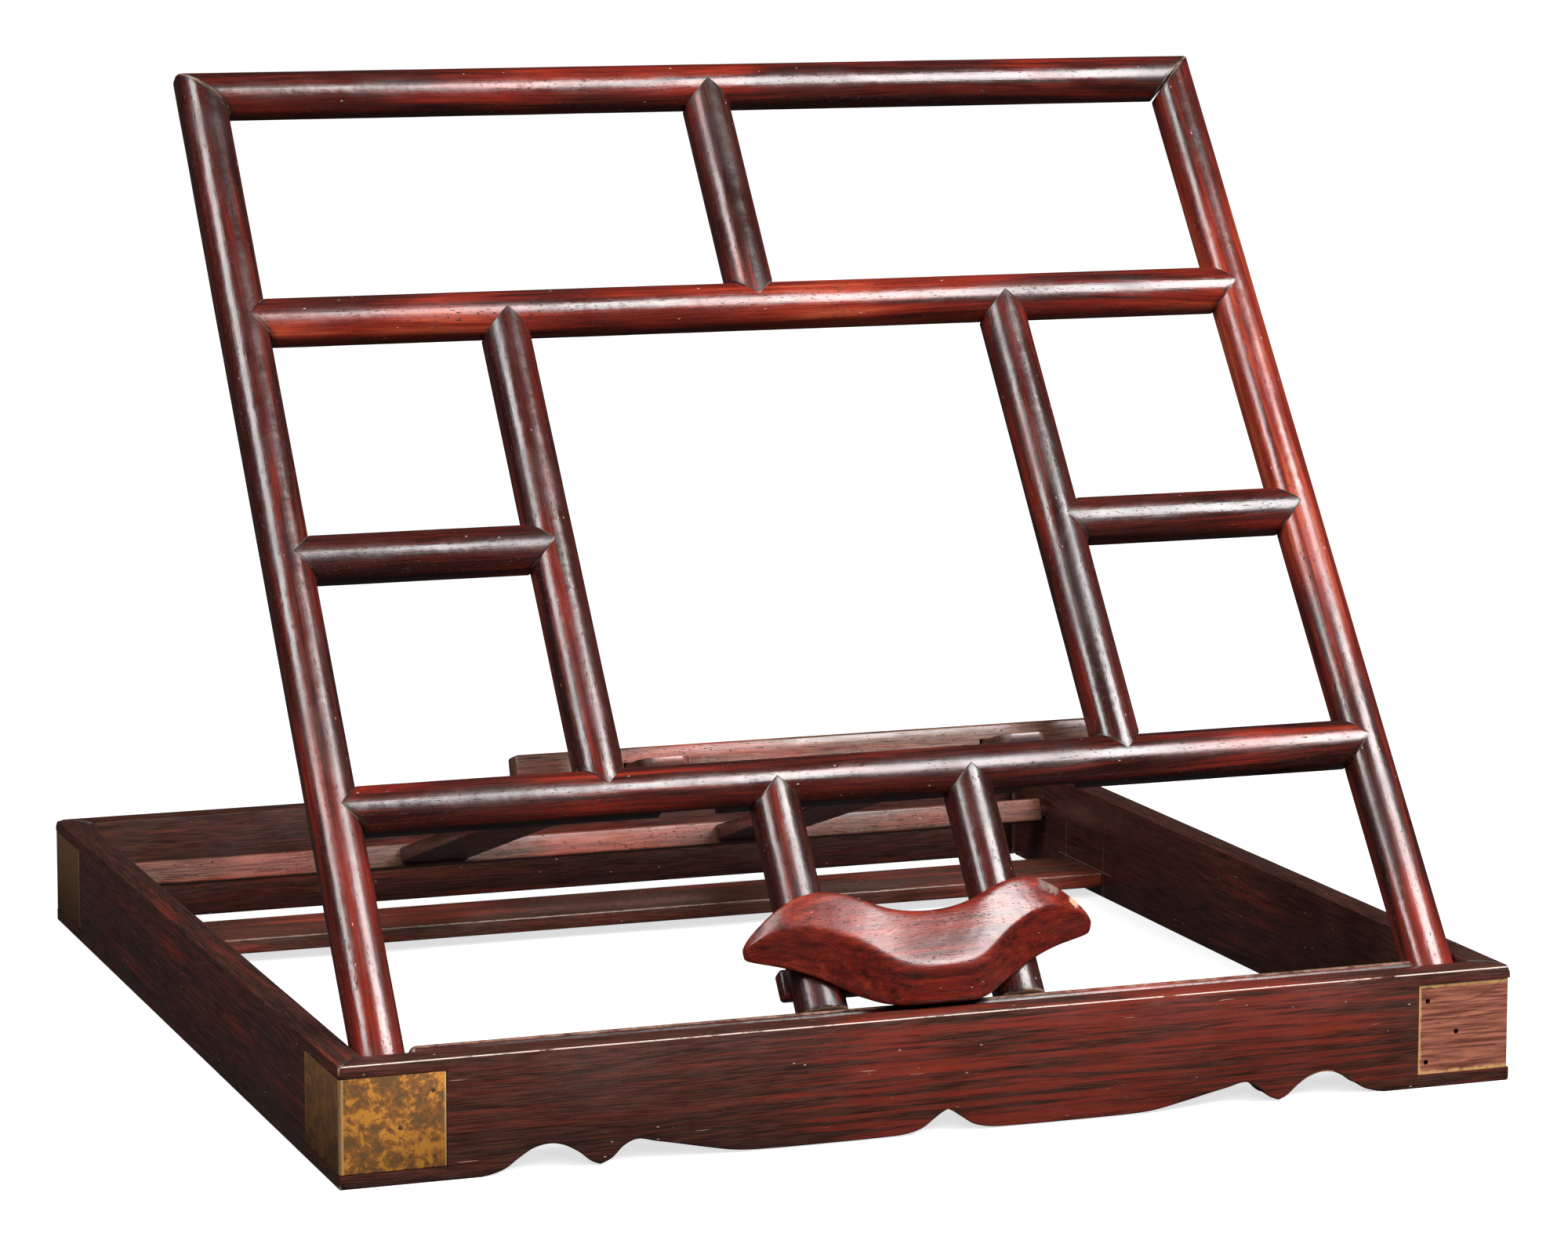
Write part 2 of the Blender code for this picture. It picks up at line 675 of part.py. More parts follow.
def rest_mesh(name, back):
    """The carved rest as one closed skin through its sections, mirrored about the middle."""
    right = list(rest_sections())
    stations = [(-row[0], *row[1:]) for row in reversed(right[1:])] + right
    bm = bmesh.new()
    rings = []
    for x, rim, ridge, low, low_back in stations:
        section = [(rim[0] - 0.4, back / MM), rim, ridge, low, (low_back, back / MM)]
        rings.append([bm.verts.new((x * MM, s * MM, h * MM)) for s, h in section])
    for ring, after in zip(rings, rings[1:]):
        for here in range(5):
            there = (here + 1) % 5
            bm.faces.new((ring[here], ring[there], after[there], after[here]))
    bm.faces.new(rings[0])
    bm.faces.new(rings[-1])
    bmesh.ops.triangulate(bm, faces=bm.faces)
    bmesh.ops.recalc_face_normals(bm, faces=bm.faces)
    mesh = bpy.data.meshes.new(name)
    bm.to_mesh(mesh)
    bm.free()
    return mesh


def build_rest(shop):
    axis = shop.empty("rest_carriage", (0.0, LATTICE_Y, LATTICE_Z), TILT)
    back = 5.7 * MM
    colour = wood((0.17, 0.040, 0.028), 0.2)
    shop.add("carved_rest", rest_mesh("carved_rest", back), axis, colour=colour)
    clear = 0.5 * MM
    shop.add(
        "rest_tongue",
        box_mesh(
            "rest_tongue",
            (-(POST_X - BAR_HALF) + clear, 13.4 * MM, BAR_BACK),
            ((POST_X - BAR_HALF) - clear, 22.0 * MM, back - GAP),
        ),
        axis,
        colour=wood(DARK_ROSEWOOD, 0.35),
    )
    shop.add(
        "rest_back_batten",
        round_box_mesh(
            "rest_back_batten",
            (-39.6 * MM, 13.2 * MM, -10.6 * MM),
            (39.6 * MM, 22.2 * MM, BAR_BACK - 0.4 * MM),
            1.2 * MM,
            steps=2,
            axes="xyz",
        ),
        axis,
        colour=wood(DARK_ROSEWOOD, 0.32),
    )
    return axis


def main():
    clear_scene()
    shop = Shop()
    build_base(shop)
    build_lattice(shop)
    build_prop(shop)
    build_rest(shop)
    bpy.context.view_layer.update()


main()
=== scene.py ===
"""Looks for a folding rosewood stand with a lattice, a hinged prop and a carved sliding rest.
Laid out as an add-on, and run as a script: each piece or group of pieces has its own operator."""

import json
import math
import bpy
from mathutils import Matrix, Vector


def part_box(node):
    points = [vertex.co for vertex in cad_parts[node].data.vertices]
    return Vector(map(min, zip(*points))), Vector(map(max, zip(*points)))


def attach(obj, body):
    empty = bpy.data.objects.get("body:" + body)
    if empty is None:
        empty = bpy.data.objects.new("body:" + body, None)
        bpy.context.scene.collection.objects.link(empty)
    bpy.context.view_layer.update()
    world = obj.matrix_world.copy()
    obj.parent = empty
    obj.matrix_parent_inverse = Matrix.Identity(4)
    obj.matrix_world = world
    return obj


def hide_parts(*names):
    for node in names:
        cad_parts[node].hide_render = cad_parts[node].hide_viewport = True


bl_info = {
    "name": "Folding Lattice Stand",
    "version": (1, 0, 0),
    "blender": (4, 5, 0),
    "location": "3D View > Sidebar > Stand",
    "description": "Builds the finished pieces of a folding rosewood stand around its packed frame",
    "category": "Add Mesh",
}

import bmesh
import bpy
from bpy.props import FloatProperty, FloatVectorProperty, IntProperty, PointerProperty
from bpy.types import Operator, Panel, PropertyGroup
from mathutils import Matrix, Vector

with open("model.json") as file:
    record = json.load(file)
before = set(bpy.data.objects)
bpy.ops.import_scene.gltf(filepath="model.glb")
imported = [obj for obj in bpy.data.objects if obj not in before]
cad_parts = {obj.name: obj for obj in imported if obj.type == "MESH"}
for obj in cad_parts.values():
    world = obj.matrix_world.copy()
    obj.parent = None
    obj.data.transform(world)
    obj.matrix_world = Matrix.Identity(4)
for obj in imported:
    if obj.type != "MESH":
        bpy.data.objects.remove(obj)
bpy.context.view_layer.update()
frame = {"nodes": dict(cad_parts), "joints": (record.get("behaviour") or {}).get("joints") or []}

MM = 0.001
JOINTS = {joint["name"]: joint for joint in frame["joints"]}
SLOPE = JOINTS["rest_slide"]["axis"]
TILT = math.atan2(SLOPE[2], SLOPE[1])
FRONT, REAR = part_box("front_rail")[0][1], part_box("rear_rail")[1][1]
HALF_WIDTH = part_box("front_rail")[1][0]
RAIL_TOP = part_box("front_rail")[1][2]
RAIL_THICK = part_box("front_rail")[1][1] - FRONT
LATTICE = Matrix.Translation(JOINTS["lattice_fold"]["pos_m"]) @ Matrix.Rotation(TILT, 4, "X")
PROP_RISE = math.radians(17.2)
PROP = Matrix.Translation(JOINTS["prop_fold"]["pos_m"]) @ Matrix.Rotation(-PROP_RISE, 4, "X")

# Lattice layout, measured from the pivot: columns left to right, rows up the slope
STILE_X = 162.9 * MM
UPRIGHT_X = 81.9 * MM
POST_X = 30.6 * MM
ROW_TOP = 323.4 * MM
ROW_SECOND = 242.0 * MM
ROW_SIDE = 160.8 * MM
ROW_LOWER = 79.2 * MM
STILE_FOOT = -2.6 * MM
BOTTOM_HALF = 4.6 * MM
SEAM = 0.12 * MM  # left free at each end of a bar or rail
STRUT_X = 57.1 * MM
STRUT_REACH = 257.8 * MM

# Corner plates and their beds
PLATE_LOW = 4.3 * MM
PLATE_HIGH = 30.9 * MM
PLATE_SLACK = 0.25 * MM
BED_DEPTH = 1.1 * MM
BARE_BED_DEPTH = 0.45 * MM
HOLE_RADIUS = 0.75 * MM
HOLE_DEPTH = 5 * MM
BED_SLOT, HOLE_SLOT = 1, 2
NAIL_SPOTS = ((27.0 * MM, 26.0 * MM), (17.5 * MM, 16.2 * MM), (27.33 * MM, 7.62 * MM))
NAIL_SUNK = 0.18 * MM
SIDE_STRETCH = 1.1

PLATES = ("front_left", "rear_left", "rear_right")
CORNERS = {
    "front_left": (-HALF_WIDTH, FRONT, -1, -1),
    "front_right": (HALF_WIDTH, FRONT, 1, -1),
    "rear_left": (-HALF_WIDTH, REAR, -1, 1),
    "rear_right": (HALF_WIDTH, REAR, 1, 1),
}


def tint(name, description, default):
    return FloatVectorProperty(
        name=name, description=description, subtype="COLOR", size=3, min=0.0, max=1.0, default=default
    )


def length(name, description, default):
    return FloatProperty(
        name=name, description=description, unit="LENGTH", subtype="DISTANCE", default=default
    )


class StandSizes(PropertyGroup):
    """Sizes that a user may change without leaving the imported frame."""

    bar_half: length("Bar half width", "Half the width of a lattice bar", 7.3 * MM)
    bar_front: length("Bar crest", "How far a bar's round front stands out", 5.0 * MM)
    bar_back: length("Bar back", "How far a bar's flat back lies behind", 4.9 * MM)
    bar_round: length("Bar rounding", "Height of the rounded part of a bar", 6.2 * MM)
    shoulder_wear: length("Shoulder wear", "How far a bar's shoulder is rubbed round", 0.45 * MM)
    waver: length("Waver", "How far hand planing strays from straight", 0.10 * MM)
    edge: length("Arris", "Rounding of the rails' edges", 0.6 * MM)
    leaf: length("Front leaf", "Width of a corner plate across the front", 30.6 * MM)
    side_leaf: length("Side leaf", "Width of a corner plate along the side", 35.5 * MM)
    plate: length("Plate thickness", "Thickness of the brass", 0.9 * MM)
    nail: length("Nail head", "Radius of a nail head", 0.85 * MM)
    rings: IntProperty(name="Rings", description="Cross sections along a bar", default=56, min=8)


class StandColours(PropertyGroup):
    """Colours of the finishes."""

    heart: tint("Heartwood", "Darkest streaks of the rosewood", (0.019, 0.0048, 0.0038))
    body: tint("Body", "Usual tone of the rosewood", (0.052, 0.0078, 0.0058))
    flame: tint("Flame", "Red streaks of the rosewood", (0.200, 0.0165, 0.0075))
    ember: tint("Ember", "Rare orange streaks", (0.430, 0.0800, 0.0320))
    worn: tint("Worn wood", "Wood where the polish has gone", (0.330, 0.190, 0.130))
    brass: tint("Brass", "Rubbed brass", (0.620, 0.245, 0.034))
    stain: tint("Stain", "Stains on the brass", (0.055, 0.022, 0.009))
    floor: tint("Floor", "The pale floor", (0.86, 0.86, 0.86))


def maths(operation, swapped=False):
    """A method of Reading that adds one Math node."""

    def method(self, other=0.0):
        first, second = (other, self) if swapped else (self, other)
        return self.bench.add("ShaderNodeMath", {"operation": operation}, {0: first, 1: second})

    return method


class Reading:
    """The output of a node, so that maths on it is written as plain arithmetic."""

    def __init__(self, bench, socket):
        self.bench, self.socket = bench, socket

    __add__ = __radd__ = maths("ADD")
    __sub__, __rsub__ = maths("SUBTRACT"), maths("SUBTRACT", swapped=True)
    __mul__ = __rmul__ = maths("MULTIPLY")
    __truediv__, __mod__ = maths("DIVIDE"), maths("FLOORED_MODULO")
    __lt__, __gt__ = maths("LESS_THAN"), maths("GREATER_THAN")
    __abs__, floor, cosine = maths("ABSOLUTE"), maths("FLOOR"), maths("COSINE")
    least, most = maths("MINIMUM"), maths("MAXIMUM")

    def ramp(self, low, high, to_low=0.0, to_high=1.0):
        """A smooth step between two values."""
        settings = {"interpolation_type": "SMOOTHSTEP"}
        sockets = {0: self, 1: low, 2: high, 3: to_low, 4: to_high}
        return self.bench.add("ShaderNodeMapRange", settings, sockets)


class Bench:
    """A node tree being built: add() makes any node, sets it up and links it."""

    def __init__(self, tree):
        self.tree = tree

    def add(self, kind, settings=None, sockets=None, out=0):
        node = self.tree.nodes.new(kind)
        for key, value in (settings or {}).items():
            setattr(node, key, value)
        for key, value in (sockets or {}).items():
            target = node.inputs[key]
            if isinstance(value, Reading):
                self.tree.links.new(value.socket, target)
            else:
                target.default_value = value
        return Reading(self, node.outputs[out])

    def also(self, reading, out):
        """Another output of the node that made a reading."""
        return Reading(self, reading.socket.node.outputs[out])

    def place(self):
        """Where a point is, in the stand's own frame."""
        return self.add("ShaderNodeTexCoord", None, None, out="Object")

    def attribute(self, name):
        """A number stored on the mesh's vertices."""
        return self.add("ShaderNodeAttribute", {"attribute_name": name}, None, out=2)

    def moved(self, place, by, share):
        """A place shifted by a share of a vector or of a noise."""
        settings = {"operation": "MULTIPLY_ADD"}
        return self.add("ShaderNodeVectorMath", settings, {0: by, 1: (share, share, share), 2: place})

    def parts(self, vector):
        x = self.add("ShaderNodeSeparateXYZ", None, {0: vector})
        return x, self.also(x, 1), self.also(x, 2)

    def vector(self, x, y, z):
        return self.add("ShaderNodeCombineXYZ", None, {0: x, 1: y, 2: z})

    def noise(self, place, scale, detail=3.0, rough=0.5, warp=0.0, seed=0.0):
        settings = {"noise_dimensions": "4D"}
        sockets = {"Vector": place, "W": seed, "Scale": scale, "Detail": detail}
        sockets.update({"Roughness": rough, "Distortion": warp})
        return self.add("ShaderNodeTexNoise", settings, sockets)

    def streaks(self, place, along, across, *more):
        """Noise with so many waves in a metre along X, and so many across it."""
        return self.noise(self.stretch(place, (along, across, across)), 1.0, *more)

    def mix(self, share, first, second, blend="MIX"):
        first, second = (side if isinstance(side, Reading) else (*side, 1.0) for side in (first, second))
        settings = {"data_type": "RGBA", "blend_type": blend, "clamp_factor": True}
        sockets = {0: share, 6: first, 7: second}
        return self.add("ShaderNodeMix", settings, sockets, out=2)

    def stretch(self, place, scale, turn=(0.0, 0.0, 0.0)):
        sockets = {"Vector": place, "Rotation": turn, "Scale": scale}
        return self.add("ShaderNodeMapping", None, sockets)

    def distance(self, place, spot):
        settings = {"operation": "DISTANCE"}
        return self.add("ShaderNodeVectorMath", settings, {0: place, 1: spot}, out=1)

    def near(self, place, spot, reach):
        """1 at a spot, fading to 0 at its reach."""
        return self.distance(place, spot).ramp(reach, reach * 0.55)


def finish_bench(name, coat=0.0, coat_rough=0.1, specular=0.5):
    """A new material with its shader's fixed settings, and the bench to feed it."""
    material = bpy.data.materials.new(name)
    material.use_nodes = True
    shader = material.node_tree.nodes["Principled BSDF"]
    shader.inputs["Coat Weight"].default_value = coat
    shader.inputs["Coat Roughness"].default_value = coat_rough
    shader.inputs["Specular IOR Level"].default_value = specular
    return material, shader, Bench(material.node_tree)


def feed(bench, shader, **inputs):
    for name, value in inputs.items():
        socket = shader.inputs[name.replace("_", " ")]
        if isinstance(value, Reading):
            bench.tree.links.new(value.socket, socket)
        else:
            socket.default_value = value


def bumped(bench, height, distance, strength, **more):
    sockets = {"Height": height, "Distance": distance, "Strength": strength, **more}
    return bench.add("ShaderNodeBump", None, sockets)


# Turns that bring X along the grain of each kind of piece
GRAIN_TURNS = {
    "across": Matrix.Identity(3),
    "deep": Matrix.Rotation(math.radians(-90.0), 3, "Z"),
    "upslope": Matrix.Rotation(math.radians(-90.0), 3, "Z") @ Matrix.Rotation(-TILT, 3, "X"),
    "slope_across": Matrix.Rotation(-TILT, 3, "X"),
    "prop_deep": Matrix.Rotation(math.radians(-90.0), 3, "Z") @ Matrix.Rotation(PROP_RISE, 3, "X"),
    "prop_across": Matrix.Rotation(PROP_RISE, 3, "X"),
}


def grain_place(bench, way):
    """Object coordinates turned so that X runs with the grain."""
    place = bench.place()
    return place, bench.stretch(place, (1.0, 1.0, 1.0), GRAIN_TURNS[way].to_euler("XYZ"))


PORE_DARK = (0.010, 0.004, 0.004)
# Near-black of the painted shade, with dirt, where a piece meets the next
SHADE_AND_GRIME_DARK = (0.008, 0.004, 0.004)
DUST_PALE = (0.62, 0.50, 0.45)


def rosewood(name, colours, way, seed, shade, red, gloss, coat, pores=1.0, dust=0.6, pale=0.0, **more):
    """Polished rosewood: long dark and red streaks, fine fibres, open pores, specks of dust, a
    rubbed polish, paler wood where the piece's wear attribute says so, and near-black painted
    shade, with dirt, towards a piece's ends where it meets the next. It can also take a contrast,
    a specular level and a function of marks."""
    contrast, specular, marks = more.get("contrast", 1.0), more.get("specular", 0.5), more.get("marks")
    material, shader, bench = finish_bench(name, coat, 0.16, specular)
    place, grain = grain_place(bench, way)
    waves = bench.streaks(grain, 5.0, 26.0, 2.0, 0.5, 0.0, seed)
    waved = bench.moved(grain, waves, 0.012)
    wide = bench.streaks(waved, 6.0, 150.0, 4.0, 0.66, 0.3, seed + 3.1)
    narrow = bench.streaks(waved, 14.0, 620.0, 3.0, 0.6, 0.2, seed + 7.7)
    fibre = bench.streaks(waved, 90.0, 2300.0, 2.0, 0.55, 0.0, seed + 1.9)
    patch = bench.streaks(grain, 13.0, 40.0, 2.0, 0.5, 0.0, seed + 5.3)
    tone = (wide - 0.5) * (1.15 * contrast) + (narrow - 0.5) * 0.55 + (fibre - 0.5) * 0.35 + shade
    dark = bench.mix(tone.ramp(0.36, 0.62), colours.heart, colours.body)
    blush = (wide - 0.5) * (0.9 * contrast) + (narrow - 0.5) * 0.5 + (patch - 0.5) * contrast + red
    warm = bench.mix(blush.ramp(0.46, 0.74), dark, colours.flame)
    hot = bench.mix(blush.ramp(0.64, 0.86) * 0.7, warm, colours.ember)
    dim = fibre.ramp(0.30, 0.70, 0.74, 1.16)
    fibred = bench.mix(1.0, hot, bench.vector(dim, dim, dim), "MULTIPLY")
    bleach = fibre.ramp(0.32, 0.68, pale * 0.35, pale * 1.6) if pale else 0.0
    bleached = bench.mix(bleach, fibred, colours.worn)

    pore_noise = bench.streaks(grain, 620.0, 3300.0, 1.0, 0.5, 0.0, seed)
    pore_patch = bench.streaks(grain, 60.0, 160.0, 2.0, 0.5, 0.0, seed + 9.0)
    pore = (pore_noise + (pore_patch - 0.5) * 0.22).ramp(0.66, 0.72) * pores
    dotted = bench.stretch(grain, (300.0, 1000.0, 1000.0))
    dots = bench.add("ShaderNodeTexVoronoi", {"feature": "F1"}, {"Vector": dotted, "Scale": 1.0})
    chance = bench.add("ShaderNodeTexWhiteNoise", None, {"Vector": bench.also(dots, "Position")}, 0)
    speck = dots.ramp(0.17, 0.09) * (chance > (1.0 - 0.022 * dust))
    poured = bench.mix(pore * 0.85, bleached, PORE_DARK)
    dusted = bench.mix(speck * 0.7, poured, DUST_PALE)
    wear = bench.attribute("wear")
    scuffs = bench.streaks(place, 260.0, 260.0, 4.0, 0.65, 0.0, seed)
    rubbed = (wear * 1.25 + (scuffs - 0.62) * 1.6).ramp(0.35, 0.95) * wear.ramp(0.02, 0.2)
    # Painted shade, with dirt: each piece turns near-black towards its ends, where it meets the next
    # piece.
    grime = bench.attribute("grime")
    darkened = (grime * grime * 0.9 + grime * (scuffs - 0.5) * 2.0).ramp(0.0, 0.8)
    shaded_and_dirtied = bench.mix(darkened * 0.95, dusted, SHADE_AND_GRIME_DARK)
    lip = grime.ramp(0.80, 0.93) * scuffs.ramp(0.42, 0.60)
    colour = bench.mix(rubbed.most(lip) * 0.7, shaded_and_dirtied, colours.worn)

    smear = bench.streaks(place, 34.0, 34.0, 4.0, 0.6, 0.4, seed + 2.0)
    rough = smear.ramp(0.30, 0.75, gloss * 0.72, gloss * 1.65) + pore * 0.35 + rubbed * 0.22
    rough = rough + speck * 0.3 + darkened * 0.15
    height = pore * -1.0 + fibre * 0.30 + narrow * 0.22 + speck * 0.25
    if marks:
        colour, rough, height = marks(bench, place, colour, rough, height)
    normal = bumped(bench, height, 0.13 * MM, 0.9)
    broad = bench.streaks(place, 85.0, 85.0, 3.0, 0.5, 0.0, seed + 4.0)
    soft = bumped(bench, broad, 0.6 * MM, 0.7, Normal=normal)
    feed(bench, shader, Base_Color=colour, Roughness=rough.least(0.9).most(0.06), Normal=soft)
    return material


def line_mask(value, at, half, soft=0.06 * MM):
    """1 within a half width of a value."""
    return abs(value - at).ramp(half + soft, half)


def front_marks(bench, place, colour, rough, height):
    """A red blush in the middle, a pale arris line that is partly rubbed wear and partly a painted
    highlight, and sparse scratches on the front rail.
    """
    _, y, z = bench.parts(place)
    glow = bench.noise(bench.stretch(place, (16.0, 1.0, 560.0), (0.0, 0.08, 0.0)), 1.0, 4.0, 0.7, 0.6)
    middle = bench.near(place, (0.052, FRONT, 0.010), 0.115)
    colour = bench.mix((glow - 0.5 + middle * 0.17).ramp(0.06, 0.27) * 0.75, colour, (0.18, 0.022, 0.012))
    # The pale line along the top front arris: rubbed wear, and a painted highlight of the light catching
    # that edge.
    edge = (y - FRONT).ramp(0.60 * MM, 0.2 * MM) * line_mask(z, RAIL_TOP - 0.95 * MM, 0.12 * MM)
    breaks = bench.streaks(place, 70.0, 1.0, 4.0, 0.7)
    edge = edge * breaks.ramp(0.34, 0.48)
    colour = bench.mix(edge * 0.85, colour, (0.74, 0.60, 0.52))
    scored = bench.stretch(place, (55.0, 1.0, 1500.0), (0.0, math.radians(2.0), 0.0))
    scratch = bench.noise(scored, 1.0, 1.0, 0.5, 0.0, 12.0).ramp(0.765, 0.80)
    scratch = scratch * ((y - FRONT) < 0.05 * MM)
    colour = bench.mix(scratch * 0.55, colour, (0.60, 0.36, 0.28))
    return colour, rough + edge * 0.1, height - scratch * 0.5


def right_marks(bench, place, colour, rough, height):
    """Scribe lines where the cross rail is let into the right rail."""
    x, y, z = bench.parts(place)
    inner = (x < (HALF_WIDTH - RAIL_THICK + 0.2 * MM)) * (x > (HALF_WIDTH - RAIL_THICK - 0.6 * MM))
    low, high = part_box("cross_rail")
    lines = line_mask(y, low[1] - 0.6 * MM, 0.10 * MM) * z.ramp(19.0 * MM, 17.0 * MM)
    lines = lines.most(line_mask(y, high[1] + 0.6 * MM, 0.10 * MM) * z.ramp(22.0 * MM, 20.0 * MM))
    rim = line_mask(z, high[2] + 0.3 * MM, 0.15 * MM)
    rim = rim * y.ramp(low[1] - 9 * MM, low[1] - 6 * MM) * y.ramp(high[1] + 9 * MM, high[1] + 6 * MM)
    lines = lines.most(rim) * inner
    colour = bench.mix(lines * 0.5, colour, (0.42, 0.26, 0.21))
    return colour, rough + lines * 0.2, height - lines * 0.6


# Chips on the carved rest: place on the lattice and reach in mm, and the colour of the raw wood
CHIP_DRIFT = 3.0 * MM
HORN_CHIPS = (
    ((38.6, 32.6, 16.4), 3.0, (0.13, 0.085, 0.07)),
    ((41.0, 31.4, 15.8), 2.6, (0.17, 0.11, 0.09)),
    ((47.9, 27.8, 13.0), 2.4, (0.62, 0.38, 0.22)),
)


def horn_marks(bench, place, colour, rough, height):
    """Chips at the carved rest's right horn, with raw wood in them."""
    ragged = bench.streaks(place, 900.0, 900.0, 3.0, 0.6)
    moved = bench.moved(place, ragged, CHIP_DRIFT)
    for spot, reach, raw in HORN_CHIPS:
        centre = LATTICE @ (Vector(spot) * MM) + Vector((0.5, 0.5, 0.5)) * CHIP_DRIFT
        chip = bench.near(moved, tuple(centre), reach * MM)
        colour = bench.mix(chip * 0.85, colour, raw)
        rough = rough + chip * 0.35
        height = height - chip * 3.0
    return colour, rough, height


def brass_finish(name, colours, tarnish, seed):
    """Old brass: rubbed bright in places, brown and black stains, fine scratches."""
    material, shader, bench = finish_bench(name, 0.0, 0.2, 0.12)
    place = bench.place()
    blot = bench.noise(place, 170.0, 6.0, 0.68, 0.8, seed)
    fine = bench.noise(place, 620.0, 4.0, 0.62, 0.4, seed + 2.0)
    brushed = bench.noise(bench.stretch(place, (300.0, 300.0, 4200.0)), 1.0, 2.0, 0.6, 0.0, seed)
    stain = (blot * 0.75 + fine * 0.25 + (tarnish - 0.5)).ramp(0.435, 0.52)
    deep = (blot * 0.65 + fine * 0.35 + (tarnish - 0.5)).ramp(0.525, 0.570)
    metal = bench.mix(brushed.ramp(0.3, 0.7), colours.brass, [value * 0.8 for value in colours.brass])
    browned = bench.mix(stain * 0.9, metal, (0.105, 0.026, 0.006))
    black = bench.mix(deep * 0.9, browned, colours.stain)
    wear = bench.attribute("wear")
    colour = bench.mix(wear * 0.6, black, (0.80, 0.55, 0.24))
    x, _, _ = bench.parts(place)
    # Painted darker: the front-left plate's side leaf and fold in dark brown, the other plates and the
    # nails all over.
    flank = abs(x).ramp(HALF_WIDTH - 1.2 * MM, HALF_WIDTH - 0.5 * MM)
    brass_darkening = flank * 0.66 if tarnish < 0.6 else 0.55
    colour = bench.mix(brass_darkening, colour, (0.085, 0.045, 0.028))
    rough = 0.38 + stain * 0.16 + deep * 0.1 + (brushed - 0.5) * 0.12 - wear * 0.1
    metallic = 0.38 - stain * 0.30 - deep * 0.1
    height = blot * -0.3 + fine * 0.25 + brushed * 0.12 - deep * 0.4
    normal = bumped(bench, height, 0.12 * MM, 0.7)
    feed(bench, shader, Base_Color=colour, Roughness=rough, Metallic=metallic, Normal=normal)
    return material


def bare_bed():
    """The bed of the missing corner plate: unpolished wood with a rim of old glue."""
    material, shader, bench = finish_bench("bare_bed_wood", 0.0, 0.3, 0.12)
    place = bench.place()
    x, _, z = bench.parts(place)
    streak = bench.noise(bench.stretch(place, (45.0, 300.0, 900.0)), 1.0, 4.0, 0.65, 0.2, 3.0)
    fine = bench.noise(bench.stretch(place, (260.0, 1500.0, 3800.0)), 1.0, 2.0, 0.6, 0.0, 5.0)
    spots = bench.noise(place, 420.0, 4.0, 0.6, 0.3, 8.0)
    wood = bench.mix(streak.ramp(0.38, 0.62), (0.105, 0.032, 0.022), (0.33, 0.118, 0.072))
    wood = bench.mix(fine.ramp(0.62, 0.74) * 0.8, wood, (0.09, 0.035, 0.024))
    left = HALF_WIDTH - 30.1 * MM
    sides = (x - left).ramp(2.2 * MM, 0.3 * MM).most((PLATE_HIGH - z).ramp(2.4 * MM, 0.2 * MM))
    sides = sides.most((z - PLATE_LOW).ramp(1.8 * MM, 0.2 * MM) * 0.8)
    glue = (sides + (spots - 0.5) * 1.1).ramp(0.45, 0.95)
    wood = bench.mix(glue * 0.8, wood, (0.52, 0.30, 0.12))
    wood = bench.mix(spots.ramp(0.62, 0.72) * 0.45, wood, (0.14, 0.06, 0.045))
    bow_centre = (HALF_WIDTH - 18.0 * MM, FRONT, PLATE_HIGH + 18.0 * MM)
    bow = bench.distance(place, bow_centre)
    curve = line_mask(bow, 24.0 * MM, 0.12 * MM) * x.ramp(left + 3 * MM, left + 8 * MM)
    wood = bench.mix(curve * 0.6, wood, (0.10, 0.04, 0.03))
    height = streak * 0.4 - fine.ramp(0.62, 0.74) * 0.8 + glue * 0.7 - curve
    normal = bumped(bench, height, 0.16 * MM, 0.8)
    feed(bench, shader, Base_Color=wood, Roughness=0.55 - glue * 0.14, Normal=normal)
    return material


def hole_dark():
    """Painted shade, with dirt, in an empty nail hole: its walls near-black."""
    material, shader, bench = finish_bench("nail_hole_dark", 0.0, 0.3, 0.2)
    place = bench.place()
    grime = bench.noise(place, 2400.0, 3.0, 0.6)
    colour = bench.mix(grime.ramp(0.4, 0.6), (0.010, 0.006, 0.004), (0.035, 0.018, 0.012))
    feed(bench, shader, Base_Color=colour, Roughness=0.8)
    return material


def in_scene(name, data):
    """A new object, linked to the scene."""
    item = bpy.data.objects.new(name, data)
    bpy.context.scene.collection.objects.link(item)
    return item


def remove(*items):
    for item in items:
        bpy.data.objects.remove(item, do_unlink=True)


def mesh_from(bm, target):
    """Writes a bmesh to a mesh, or to a new one of the given name, and frees it."""
    mesh = bpy.data.meshes.new(target) if isinstance(target, str) else target
    bm.to_mesh(mesh)
    bm.free()
    return mesh


def bmesh_from(mesh):
    bm = bmesh.new()
    bm.from_mesh(mesh)
    return bm


def bridge(bm, rings):
    """Joins closed rings of vertices with rows of faces."""
    count = len(rings[0])
    for ring, after in zip(rings, rings[1:]):
        for here in range(count):
            there = (here + 1) % count
            bm.faces.new((ring[here], ring[there], after[there], after[here]))


def profile_object(name, points):
    """Points of a cross section in order, for the moulding tree to read."""
    mesh = bpy.data.meshes.new(name)
    mesh.from_pydata([(w, h, 0.0) for w, h in points], [], [])
    return in_scene(name, mesh)


